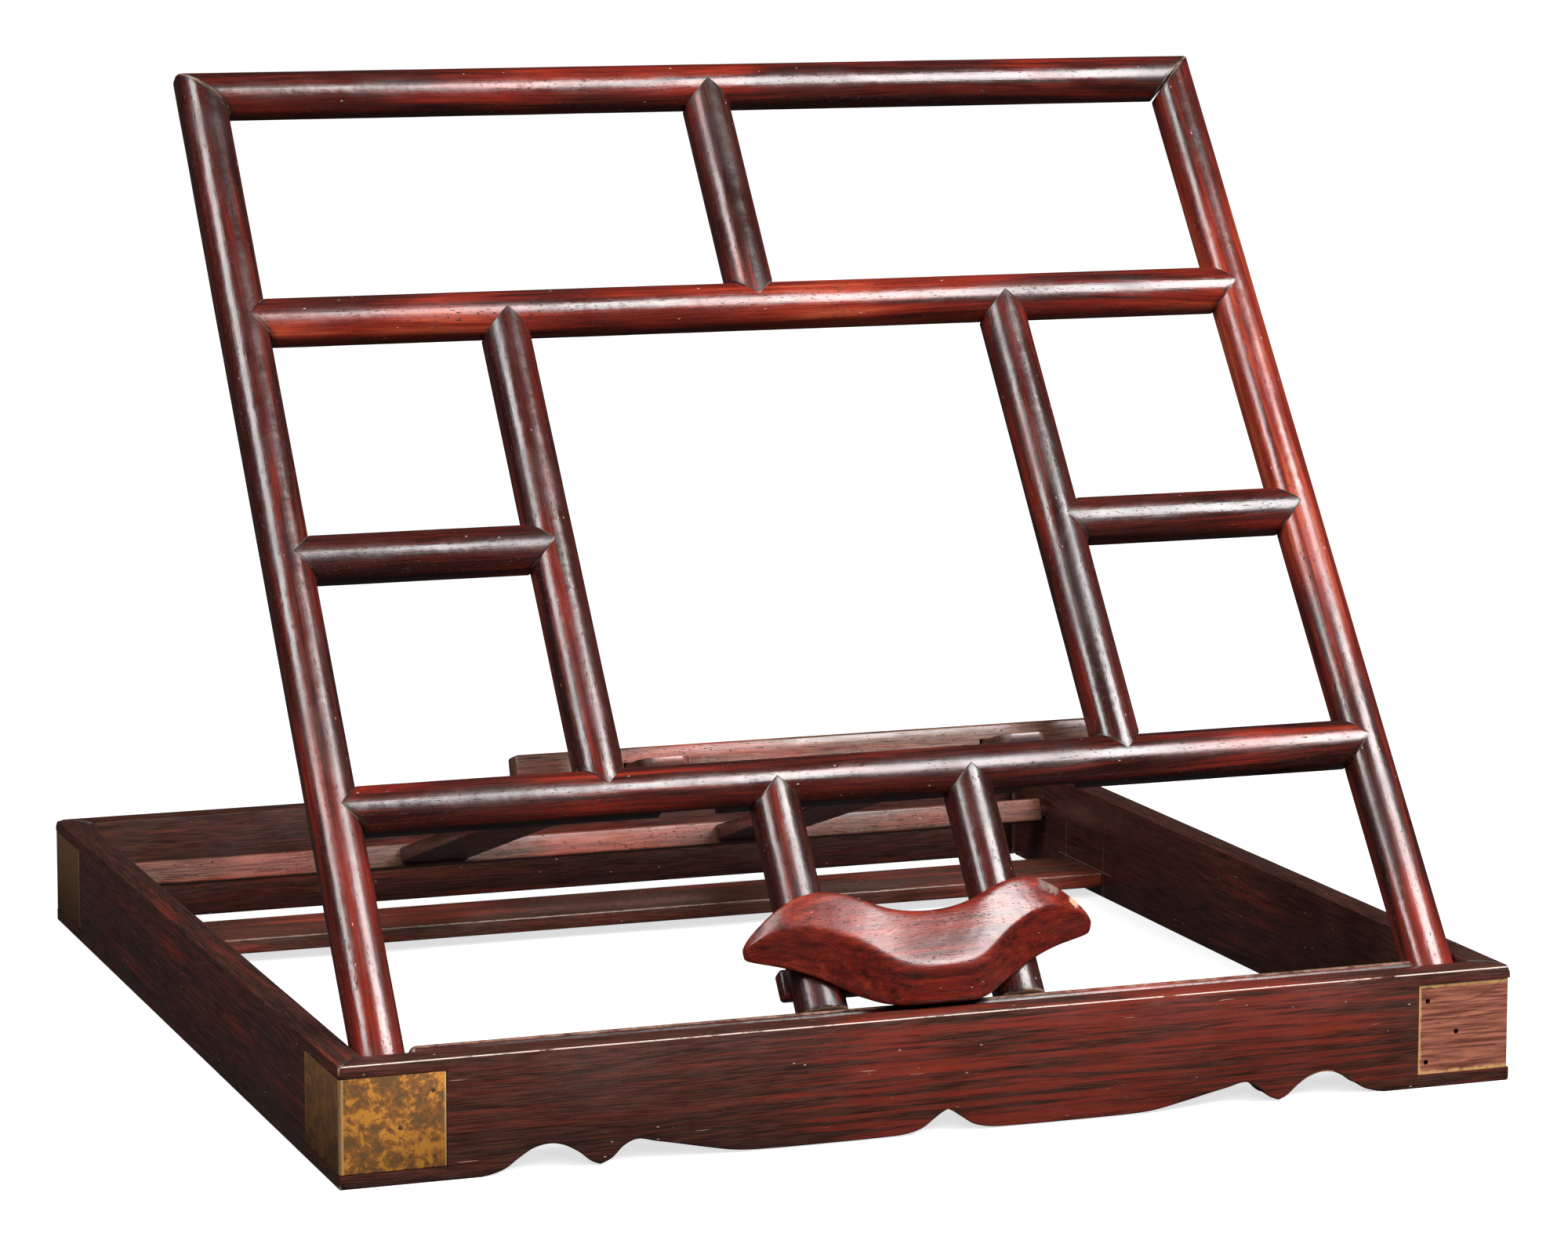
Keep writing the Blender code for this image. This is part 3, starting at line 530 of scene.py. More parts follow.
def new_tree(name, inputs):
    """A Geometry Nodes tree with named inputs; returns it, its bench and its input readings."""
    tree = bpy.data.node_groups.new(name, "GeometryNodeTree")
    tree.interface.new_socket("Geometry", in_out="OUTPUT", socket_type="NodeSocketGeometry")
    for label, kind, default in inputs:
        socket = tree.interface.new_socket(label, in_out="INPUT", socket_type="NodeSocket" + kind)
        if default is not None:
            socket.default_value = default
    bench = Bench(tree)
    source = tree.nodes.new("NodeGroupInput")
    given = {label: Reading(bench, source.outputs[label]) for label, _, _ in inputs}
    return tree, bench, given


def close_tree(bench, geometry, material):
    """Every tree ends by making its instances real and setting the finish."""
    real = bench.add("GeometryNodeRealizeInstances", None, {0: geometry})
    done = bench.add("GeometryNodeSetMaterial", None, {"Geometry": real, "Material": material})
    sink = bench.tree.nodes.new("NodeGroupOutput")
    bench.tree.links.new(done.socket, sink.inputs[0])


# How a moulding's two ends are cut: the slope of a pointed cope or of a mitre
CUTS = ("Cope Low", "Cope High", "Mitre Low", "Mitre High")

# The stretch at a bar's end over which its waver dies away
END_RUN = 6.0 * MM


def moulding_tree():
    """A straight moulding with a cross section, coped or mitred at either end, rubbed round
    at its shoulders and wavering a little as planed work does."""
    tree, bench, given = new_tree(
        "straight_moulding",
        (
            ("Profile", "Object", None),
            ("Points", "Int", 20),
            ("Rings", "Int", 40),
            ("Low", "Float", 0.0),
            ("High", "Float", 0.1),
            *((name, "Float", 0.0) for name in CUTS),
            ("Crowding", "Float", 1.0),
            ("Wear", "Float", 0.0004),
            ("Shade And Grime", "Float", 0.004),
            ("Waver", "Float", 0.0001),
            ("Seed", "Float", 0.0),
            ("Material", "Material", None),
        ),
    )
    grid = bench.add(
        "GeometryNodeMeshGrid", None, {"Vertices X": given["Points"] + 1, "Vertices Y": given["Rings"]}
    )
    index = bench.add("GeometryNodeInputIndex")
    around = (index / given["Rings"] + 0.0001).floor()
    along = index - around * given["Rings"]
    shape = bench.add("GeometryNodeObjectInfo", None, {"Object": given["Profile"]}, out="Geometry")
    here = bench.add("GeometryNodeInputPosition")
    read = {"data_type": "FLOAT_VECTOR", "domain": "POINT"}
    sockets = {"Geometry": shape, "Value": here, "Index": around % given["Points"]}
    section = bench.add("GeometryNodeSampleIndex", read, sockets)
    w, h, _ = bench.parts(section)
    even = along / (given["Rings"] - 1)
    crowded = 0.5 - (even * math.pi).cosine() * 0.5
    share = even + (crowded - even) * given["Crowding"]
    low = given["Low"] + abs(w) * given["Cope Low"] + w * given["Mitre Low"]
    high = given["High"] - abs(w) * given["Cope High"] - w * given["Mitre High"]
    spot = low + share * (high - low)
    to_end = (spot - low).least(high - spot)
    nip = (1 - to_end / given["Wear"]).most(0.0)
    shrink = 1 - nip * nip * given["Wear"] / END_RUN
    calm = (to_end / END_RUN).least(1.0)
    path = bench.vector(spot * 38.0, w * 20.0, h * 20.0)
    sway = bench.noise(path, 1.0, 2.0, 0.5, 0.0, given["Seed"])
    lift = bench.noise(path, 1.0, 2.0, 0.5, 0.0, given["Seed"] + 11.0)
    swayed = w * shrink + (sway - 0.5) * 2 * given["Waver"] * calm
    lifted = h * shrink + (lift - 0.5) * 2 * given["Waver"] * calm
    sockets = {"Geometry": grid, "Position": bench.vector(spot, swayed, lifted)}
    placed = bench.add("GeometryNodeSetPosition", None, sockets)
    # 1 at each end, fading to 0 over its reach: where painted shade, with dirt, darkens a joint.
    grime = (1 - to_end / given["Shade And Grime"]).most(0.0)
    for name, value in (("wear", nip), ("grime", grime)):
        kept = {"data_type": "FLOAT", "domain": "POINT"}
        sockets = {"Geometry": placed, "Name": name, "Value": value}
        placed = bench.add("GeometryNodeStoreNamedAttribute", kept, sockets)
    close_tree(bench, placed, given["Material"])
    return tree


def nail_tree():
    """Low domed nail heads on a list of points, each turned its own way."""
    tree, bench, given = new_tree(
        "nail_heads",
        (
            ("Spots", "Object", None),
            ("Radius", "Float", 0.0008),
            ("Seed", "Int", 3),
            ("Material", "Material", None),
        ),
    )
    spots = bench.add("GeometryNodeObjectInfo", None, {"Object": given["Spots"]}, out="Geometry")
    ball = {"Segments": 18, "Rings": 8, "Radius": given["Radius"]}
    head = bench.add("GeometryNodeMeshUVSphere", None, ball)
    flat = bench.add("GeometryNodeTransform", None, {"Geometry": head, "Scale": (1.0, 1.0, 0.32)})
    facing = bench.add("GeometryNodeInputNormal")
    turned = bench.add("FunctionNodeAlignRotationToVector", {"axis": "Z"}, {"Vector": facing})
    between = {2: 0.92, 3: 1.08, "Seed": given["Seed"]}
    size = bench.add("FunctionNodeRandomValue", {"data_type": "FLOAT"}, between, out=1)
    sockets = {"Points": spots, "Instance": flat, "Rotation": turned}
    sockets["Scale"] = bench.vector(size, size, size)
    placed = bench.add("GeometryNodeInstanceOnPoints", None, sockets)
    close_tree(bench, placed, given["Material"])
    return tree


def grow(tree, values, name):
    """Evaluates a tree with these input values and returns the result as a plain mesh."""
    holder = in_scene(name + "_growing", bpy.data.meshes.new(name + "_growing"))
    modifier = holder.modifiers.new("grow", "NODES")
    modifier.node_group = tree
    sockets = {item.name: item.identifier for item in tree.interface.items_tree if item.in_out == "INPUT"}
    for label, value in values.items():
        modifier[sockets[label]] = value
    graph = bpy.context.evaluated_depsgraph_get()
    mesh = bpy.data.meshes.new_from_object(holder.evaluated_get(graph))
    mesh.name = name
    remove(holder)
    mesh.materials.clear()
    mesh.materials.append(values["Material"])
    for face in mesh.polygons:
        face.material_index = 0
    return mesh


def settle(mesh, sharp=34.0, merge=1e-6, outward=True):
    """Merges doubles, turns faces outwards, and shades smooth up to an angle."""
    bm = bmesh_from(mesh)
    bmesh.ops.remove_doubles(bm, verts=bm.verts, dist=merge)
    bmesh.ops.dissolve_degenerate(bm, edges=bm.edges, dist=1e-7)
    if outward:
        bmesh.ops.recalc_face_normals(bm, faces=bm.faces)
    for face in bm.faces:
        face.smooth = True
    for edge in bm.edges:
        edge.smooth = not (edge.is_manifold and edge.calc_face_angle(0.0) > math.radians(sharp))
    return mesh_from(bm, mesh)


def add_piece(name, mesh, body, nodes):
    """Puts a finished mesh in the scene, on its body and in place of its CAD nodes."""
    piece = in_scene(name, mesh)
    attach(piece, body)
    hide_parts(*nodes)
    return piece


def carve(mesh, cutters, name):
    """Takes boxes and rods out of a mesh with exact Booleans."""
    holder = in_scene(name + "_carving", mesh)
    tools = [in_scene(f"{name}_tool_{number}", cutter) for number, cutter in enumerate(cutters)]
    for tool in tools:
        modifier = holder.modifiers.new("cut", "BOOLEAN")
        modifier.solver = "EXACT"
        modifier.object = tool
    graph = bpy.context.evaluated_depsgraph_get()
    result = bpy.data.meshes.new_from_object(holder.evaluated_get(graph))
    result.name = name
    remove(holder, *tools)
    return result


def box_between(low, high):
    low, high = Vector(low), Vector(high)
    bm = bmesh.new()
    place = Matrix.Translation((low + high) / 2) @ Matrix.Diagonal((*(high - low), 1.0))
    bmesh.ops.create_cube(bm, size=1.0, matrix=place)
    return mesh_from(bm, "box")


def rod_between(start, end, radius):
    start, end = Vector(start), Vector(end)
    way = end - start
    place = Matrix.Translation((start + end) / 2) @ way.to_track_quat("Z", "Y").to_matrix().to_4x4()
    size = dict(radius1=radius, radius2=radius, depth=way.length)
    bm = bmesh.new()
    bmesh.ops.create_cone(bm, cap_ends=True, segments=20, matrix=place, **size)
    return mesh_from(bm, "rod")


def cap_ends(mesh, points, rings):
    """Closes a moulding's ends with strips between its two sides, which follow a coped end."""
    bm = bmesh_from(mesh)
    bm.verts.ensure_lookup_table()
    for ring in (0, rings - 1):
        loop = [bm.verts[around * rings + ring] for around in range(points)]
        left, right = 0, points - 1
        while right - left > 1:
            corners = [loop[left], loop[left + 1], loop[right - 1], loop[right]]
            if corners[1] is corners[2]:
                corners.pop(2)
            bm.faces.new(corners)
            left, right = left + 1, right - 1
    return mesh_from(bm, mesh)


def arc(centre, radius, start, end, steps):
    """Points on a quarter turn or less, in degrees."""
    points = []
    for step in range(steps + 1):
        angle = math.radians(start + (end - start) * step / steps)
        points.append((centre[0] + radius * math.cos(angle), centre[1] + radius * math.sin(angle)))
    return points


def bar_section(sizes):
    """Right back corner, up over the round front, and down to the left back corner."""
    steps, back_edge = 26, 0.7 * MM
    spring = sizes.bar_front - sizes.bar_round
    half, back = sizes.bar_half, -sizes.bar_back
    right = arc((half - back_edge, back + back_edge), back_edge, -90.0, 0.0, 3)
    over = []
    for step in range(steps + 1):
        angle = math.pi * step / steps
        over.append((half * math.cos(angle), spring + sizes.bar_round * math.sin(angle)))
    left = [(-w, h) for w, h in reversed(right)]
    return right + over + left


def rail_section(edge):
    """A rail with eased lower edges, sharp upper arrises and a low crown: w is the depth from
    the outer face, h the height."""
    t, top, crown = RAIL_THICK, RAIL_TOP - 0.7 * MM, 0.6 * MM
    arris = [(0.0, top - 0.45 * MM), (0.12 * MM, top - 0.14 * MM), (0.42 * MM, top)]
    right = arc((t - edge, edge), edge, -90.0, 0.0, 3)
    over = [(t - w, h) for w, h in arris]
    for step in range(7):
        share = 0.9 - 0.8 * step / 6
        over.append((t * share, top + crown * (1 - (2 * share - 1) ** 2)))
    left = [(t - w, h) for w, h in reversed(right)]
    return right + over + arris[::-1] + left


# The front rail's lower edge from its middle outwards: distance and height in mm
APRON_RUNS = (
    (
        *((0.0, 7.0), (2.2, 5.9), (4.2, 4.5), (7.8, 2.1), (12.0, 0.9), (16.5, 0.5), (37.0, 0.35)),
        *((58.0, 0.5), (65.0, 1.0), (73.0, 2.5), (82.0, 4.4), (88.0, 5.6), (93.5, 6.7)),
        *((97.5, 5.2), (101.0, 2.0), (104.4, 0.5)),
    ),
    (
        *((104.4, 0.5), (107.0, 1.6), (111.0, 4.8), (115.0, 6.9), (119.2, 7.7), (124.0, 6.8)),
        *((128.5, 4.2), (132.0, 1.8), (136.0, 0.5), (139.0, 0.0)),
    ),
)


def apron_height(x):
    """The front rail's lower edge: smooth along each run, and pointed where two runs meet."""
    x = abs(x) / MM
    for run in APRON_RUNS:
        points = [run[0], *run, run[-1]]
        for before, a, b, after in zip(points, points[1:], points[2:], points[3:]):
            if a[0] <= x <= b[0] and a[0] < b[0]:
                wide = b[0] - a[0]
                t = (x - a[0]) / wide
                slope_a = (b[1] - before[1]) / (b[0] - before[0]) * wide
                slope_b = (after[1] - a[1]) / (after[0] - a[0]) * wide
                rise = (2 * t**3 - 3 * t**2 + 1) * a[1] + (t**3 - 2 * t**2 + t) * slope_a
                rise += (3 * t**2 - 2 * t**3) * b[1] + (t**3 - t**2) * slope_b
                return max(rise, 0.0) * MM
    return 0.0


def lattice_bars():
    """Each bar: which way it runs, where it stands, its two ends, and how its low and its high
    end are coped and mitred."""
    turned, across, post = (0, 0, -1, -1), (1, 1, 0, 0), (0, 1, 0, 0)
    bars = {
        "top_bar": ("across", ROW_TOP, -STILE_X, STILE_X, turned),
        "second_bar": ("across", ROW_SECOND, -STILE_X, STILE_X, across),
        "lower_bar": ("across", ROW_LOWER, -STILE_X, STILE_X, across),
        "centre_upright": ("up", 0.0, ROW_SECOND, ROW_TOP, across),
    }
    for side, sign in (("left", -1), ("right", 1)):
        bars[side + "_stile"] = ("up", sign * STILE_X, STILE_FOOT, ROW_TOP, (0, 0, 0, -sign))
        bars[side + "_inner_upright"] = ("up", sign * UPRIGHT_X, ROW_LOWER, ROW_SECOND, across)
        low, high = sorted((sign * UPRIGHT_X, sign * STILE_X))
        bars[side + "_side_bar"] = ("across", ROW_SIDE, low, high, across)
        foot = BOTTOM_HALF + 0.3 * MM
        bars[side + "_guide_post"] = ("up", sign * POST_X, foot, ROW_LOWER, post)
    return bars


def corner_tools(sizes, place, long_side):
    """Cutters for the beds and nail holes that a long or a side rail has at a corner."""
    x, y, out_x, out_y = CORNERS[place]
    skin, slack = 2 * MM, PLATE_SLACK
    bare = place == "front_right"
    sunk = BARE_BED_DEPTH if bare else BED_DEPTH
    wide = sizes.leaf + (-0.5 * MM if bare else slack)
    low_z, high_z = PLATE_LOW - slack, PLATE_HIGH + slack

    def slab(across, deep):
        across, deep = sorted(across), sorted(deep)
        return box_between((across[0], deep[0], low_z), (across[1], deep[1], high_z))

    outer_x, outer_y = x + out_x * skin, y + out_y * skin
    tools = [
        slab((outer_x, x - out_x * wide), (outer_y, y - out_y * sunk)),
        slab((outer_x, x - out_x * sunk), (outer_y, y - out_y * (sizes.side_leaf + slack))),
    ]
    for away, height in NAIL_SPOTS:
        if long_side:
            spot = x - out_x * away
            ends = ((spot, y + out_y * MM, height), (spot, y - out_y * HOLE_DEPTH, height))
        else:
            spot = y - out_y * away * SIDE_STRETCH
            ends = ((x + out_x * MM, spot, height), (x - out_x * HOLE_DEPTH, spot, height))
        tools.append(rod_between(*ends, HOLE_RADIUS))
    return tools


def paint_beds(mesh, bed, hole):
    """Gives the bare bed and the nail holes their own finishes on a carved rail."""
    mesh.materials.append(bed)
    mesh.materials.append(hole)
    for face in mesh.polygons:
        middle = face.center
        across, deep = HALF_WIDTH - abs(middle.x), min(middle.y - FRONT, REAR - middle.y)
        inset = min(across, deep)
        in_height = PLATE_LOW - 0.3 * MM < middle.z < PLATE_HIGH + 0.3 * MM
        if not in_height or inset < 0.05 * MM:
            continue
        near_hole = any(
            math.hypot(from_corner, middle.z - height) < HOLE_RADIUS + 0.15 * MM
            for away, height in NAIL_SPOTS
            for from_corner in (across - away, deep - away * SIDE_STRETCH)
        )
        if near_hole and inset > 0.5 * MM and face.area < 2e-5:
            face.material_index = HOLE_SLOT
        elif inset < 0.5 * MM and middle.x > 0 and middle.y < 0:
            face.material_index = BED_SLOT


class StandOperator:
    """What every operator of the stand shares."""

    bl_options = {"REGISTER", "UNDO"}

    @property
    def sizes(self):
        return bpy.context.scene.stand_sizes

    @property
    def colours(self):
        return bpy.context.scene.stand_colours


class STAND_OT_rails(StandOperator, Operator):
    """Make the four mitred rails of the base, the front one with its shaped apron"""

    bl_idname = "stand.rails"
    bl_label = "Base rails"

    def execute(self, context):
        sizes, colours = self.sizes, self.colours
        tree = moulding_tree()
        points = rail_section(sizes.edge)
        profile = profile_object("rail_section", points)
        looks = dict(shade=0.48, red=0.42, gloss=0.36, coat=0.1, dust=1.4, pale=0.05)
        looks.update(contrast=0.5, specular=0.32)
        finishes = {
            "front": rosewood("front_rail_rosewood", colours, "across", 1.0, marks=front_marks, **looks),
            "rear": rosewood("rear_rail_rosewood", colours, "across", 21.0, **looks),
            "left": rosewood("left_rail_rosewood", colours, "deep", 31.0, **looks),
            "right": rosewood("right_rail_rosewood", colours, "deep", 41.0, marks=right_marks, **looks),
        }
        bed, hole = bare_bed(), hole_dark()
        middle = (FRONT + REAR) / 2
        half_depth = (REAR - FRONT) / 2
        for number, (side, finish) in enumerate(finishes.items()):
            name = side + "_rail"
            long_side = side in ("front", "rear")
            reach = (HALF_WIDTH if long_side else half_depth) - SEAM
            rings = 481 if side == "front" else 90
            values = {
                "Profile": profile,
                "Points": len(points),
                "Rings": rings,
                "Low": -reach,
                "High": reach,
                "Mitre Low": 1.0,
                "Mitre High": 1.0,
                "Crowding": 0.0 if side == "front" else 0.6,
                "Wear": 0.25 * MM,
                "Waver": sizes.waver * 0.5,
                "Seed": 2.0 + number,
                "Material": finish,
            }
            mesh = cap_ends(grow(tree, values, name), len(points), rings)
            for vertex in mesh.vertices:
                t, w, h = vertex.co
                if side == "front":
                    low = apron_height(t)
                    h = low + h / RAIL_TOP * (RAIL_TOP - low)
                h = max(h, 0.0)
                spots = {
                    "front": (t, FRONT + w, h),
                    "rear": (t, REAR - w, h),
                    "left": (-HALF_WIDTH + w, middle + t, h),
                    "right": (HALF_WIDTH - w, middle + t, h),
                }
                vertex.co = spots[side]
            settle(mesh)
            corners = [place for place in CORNERS if side in place.split("_")]
            tools = [tool for place in corners for tool in corner_tools(sizes, place, long_side)]
            mesh = settle(carve(mesh, tools, name), outward=False)
            paint_beds(mesh, bed, hole)
            add_piece(name + "_wood", mesh, "base", [name])
        remove(profile)
        low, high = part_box("cross_rail")
        looks = dict(shade=0.54, red=0.50, gloss=0.3, coat=0.1, pores=1.2, pale=0.10)
        finish = rosewood("cross_rail_rosewood", colours, "across", 51.0, **looks)
        mesh = eased_box(low, high, 0.7 * MM, finish)
        add_piece("cross_rail_wood", mesh, "base", ["cross_rail"])
        return {"FINISHED"}


def ease(bm, edges, radius, steps):
    """Rounds edges; returns the vertices that this made."""
    settings = dict(profile=0.5, affect="EDGES", clamp_overlap=True)
    return bmesh.ops.bevel(bm, geom=edges, offset=radius, segments=steps, **settings)["verts"]


def eased_box(low, high, radius, finish, steps=3, turn=None):
    """A plank with rounded edges, its rims marked as worn."""
    mesh = box_between(low, high)
    bm = bmesh_from(mesh)
    ease(bm, bm.edges[:], radius, steps)
    layer = bm.verts.layers.float.new("wear")
    low, high = Vector(low), Vector(high)
    for vertex in bm.verts:
        gaps = sorted(min(vertex.co[i] - low[i], high[i] - vertex.co[i]) for i in range(3))
        vertex[layer] = 0.7 if gaps[1] < radius * 0.75 else 0.0
    if turn:
        bmesh.ops.transform(bm, matrix=turn, verts=bm.verts)
    mesh_from(bm, mesh).materials.append(finish)
    return settle(mesh)


# How light and how red each bar's wood is
BAR_TONES = {
    "top_bar": (0.53, 0.52),
    "second_bar": (0.60, 0.64),
    "lower_bar": (0.52, 0.50),
    "centre_upright": (0.52, 0.54),
    "left_stile": (0.51, 0.50),
    "right_stile": (0.55, 0.57),
    "left_inner_upright": (0.52, 0.52),
    "right_inner_upright": (0.52, 0.50),
    "left_side_bar": (0.49, 0.46),
    "right_side_bar": (0.52, 0.50),
    "left_guide_post": (0.52, 0.49),
    "right_guide_post": (0.51, 0.47),
}


class STAND_OT_lattice(StandOperator, Operator):
    """Make the twelve round-fronted bars of the lattice, coped and mitred, and its bottom rail"""

    bl_idname = "stand.lattice"
    bl_label = "Lattice"

    def execute(self, context):
        sizes, colours = self.sizes, self.colours
        tree = moulding_tree()
        points = bar_section(sizes)
        profile = profile_object("bar_section", points)
        looks = dict(gloss=0.25, coat=0.22, pores=1.3, dust=1.2, contrast=0.8)
        for number, (name, (way, at, low, high, cuts)) in enumerate(lattice_bars().items()):
            grain = "slope_across" if way == "across" else "upslope"
            tones = dict(zip(("shade", "red"), BAR_TONES[name]))
            finish = rosewood(name + "_rosewood", colours, grain, 60.0 + 7.3 * number, **tones, **looks)
            values = {
                "Profile": profile,
                "Points": len(points),
                "Rings": sizes.rings,
                "Low": low + SEAM,
                "High": high - SEAM,
                "Wear": sizes.shoulder_wear,
                "Waver": sizes.waver,
                "Seed": 5.0 + number,
                "Material": finish,
            }
            values.update(zip(CUTS, map(float, cuts)))
            mesh = cap_ends(grow(tree, values, name), len(points), sizes.rings)
            for vertex in mesh.vertices:
                t, w, h = vertex.co
                vertex.co = LATTICE @ Vector((t, at + w, h) if way == "across" else (at + w, t, h))
            settle(mesh)
            if name == "lower_bar":
                mesh = settle(self.seats(mesh, sizes), outward=False)
            add_piece(name + "_wood", mesh, "lattice", [name])
        remove(profile)
        self.bottom_rail(colours)
        return {"FINISHED"}

    def seats(self, mesh, sizes):
        """The two notches in the lower bar's back that the prop's tips bear in."""
        tools = []
        half, deep, back = 9 * MM, 4 * MM, -sizes.bar_back
        for x in (-STRUT_X, STRUT_X):
            low = (x - half, ROW_LOWER - 10 * MM, back - 2 * MM)
            tool = box_between(low, (x + half, ROW_LOWER + 10 * MM, back + deep))
            tool.transform(LATTICE)
            tools.append(tool)
        return carve(mesh, tools, "lower_bar")

    def bottom_rail(self, colours):
        """The rail between the stiles' feet, with the round pivots at its two ends."""
        inner, half, pivot = STILE_X - 7.6 * MM, BOTTOM_HALF, 2.9 * MM
        finish = rosewood("bottom_rail_rosewood", colours, "slope_across", 171.0, 0.44, 0.42, 0.3, 0.3)
        mesh = eased_box((-inner, -half, -half), (inner, half, half), 1.8 * MM, finish, 4, LATTICE)
        bm = bmesh_from(mesh)
        for sign in (-1, 1):
            ends = (sign * (inner - MM), 0.0, 0.0), (sign * (HALF_WIDTH - 4 * MM), 0.0, 0.0)
            rod = rod_between(*ends, pivot)
            rod.transform(LATTICE)
            bm.from_mesh(rod)
        mesh = settle(mesh_from(bm, mesh), outward=False)
        add_piece("bottom_rail_wood", mesh, "lattice", ["bottom_rail"])


def softened(node, width, finish):
    """A merged copy of a CAD node's mesh with its edges eased, and its edges marked as worn."""
    mesh = frame["nodes"][node].data.copy()
    mesh.name = node + "_softened"
    bm = bmesh_from(mesh)
    bmesh.ops.remove_doubles(bm, verts=bm.verts, dist=2e-6)
    bmesh.ops.dissolve_limit(bm, angle_limit=math.radians(0.5), verts=bm.verts, edges=bm.edges)
    layer = bm.verts.layers.float.new("wear")
    crisp = [edge for edge in bm.edges if edge.calc_face_angle(0.0) > math.radians(30.0)]
    for vertex in ease(bm, crisp, width, 2):
        vertex[layer] = 0.35
    mesh_from(bm, mesh).materials.clear()
    mesh.materials.append(finish)
    return settle(mesh, outward=False)


def tip_highlight_marks(bench, place, colour, rough, height):
    """The prop's two tips are painted pale all round: a painted highlight for their bright end faces."""
    for x in (-STRUT_X, STRUT_X):
        tip = PROP @ Vector((x, -STRUT_REACH, 0.0))
        # Painted highlight: a pale patch around each tip, standing in for the light on its end face.
        rubbed = bench.near(place, tuple(tip), 8.0 * MM)
        colour = bench.mix(rubbed * 0.28, colour, (0.36, 0.28, 0.26))
    return colour, rough, height


class STAND_OT_prop(StandOperator, Operator):
    """Make the four pieces of the hinged prop, with eased edges and a plainer, paler rosewood"""

    bl_idname = "stand.prop"
    bl_label = "Prop"

    def execute(self, context):
        grains = {
            "prop_pivot_bar": ("prop_across", 0.54, 0.46, 0.20),
            "prop_head_bar": ("prop_across", 0.54, 0.48, 0.20),
            "left_strut": ("prop_deep", 0.49, 0.44, 0.08),
            "right_strut": ("prop_deep", 0.49, 0.44, 0.08),
        }
        for number, (node, (grain, shade, red, pale)) in enumerate(grains.items()):
            seed = 201.0 + 10.0 * number
            looks = dict(gloss=0.34, coat=0.2, pores=1.6, dust=0.5, pale=pale, marks=tip_highlight_marks)
            finish = rosewood(node + "_rosewood", self.colours, grain, seed, shade, red, **looks)
            add_piece(node + "_wood", softened(node, 0.4 * MM, finish), "prop", [node])
        return {"FINISHED"}


def rest_sections():
    """Stations across the carved rest, in mm: distance from the middle, then its rim, ridge and
    lowest line as (height up the slope, reach out), and where the low line meets the back."""
    return (
        (0.0, (27.2, 18.0), (8.3, 20.6), (-0.6, 13.0), 4.7),
        (7.0, (27.6, 18.3), (8.7, 20.5), (-0.5, 12.8), 4.7),
        (12.5, (28.8, 18.8), (9.8, 20.2), (0.2, 11.8), 4.8),
        (17.0, (30.6, 19.2), (13.0, 19.9), (2.4, 9.6), 5.0),
        (22.0, (33.0, 19.2), (17.0, 19.6), (6.4, 7.4), 7.0),
        (28.0, (35.2, 18.6), (21.0, 19.0), (10.6, 6.8), 11.0),
        (34.0, (35.7, 17.5), (24.0, 18.2), (14.0, 6.6), 14.4),
        (40.0, (34.2, 15.9), (25.6, 16.8), (16.6, 6.5), 16.9),
        (45.0, (31.6, 14.0), (25.4, 15.0), (18.2, 6.4), 18.4),
        (49.5, (28.4, 11.8), (24.2, 12.8), (19.3, 6.3), 19.5),
        (52.6, (25.8, 9.8), (23.2, 10.6), (20.2, 6.2), 20.4),
        (53.8, (24.2, 8.4), (22.8, 8.9), (21.0, 6.1), 21.2),
    )


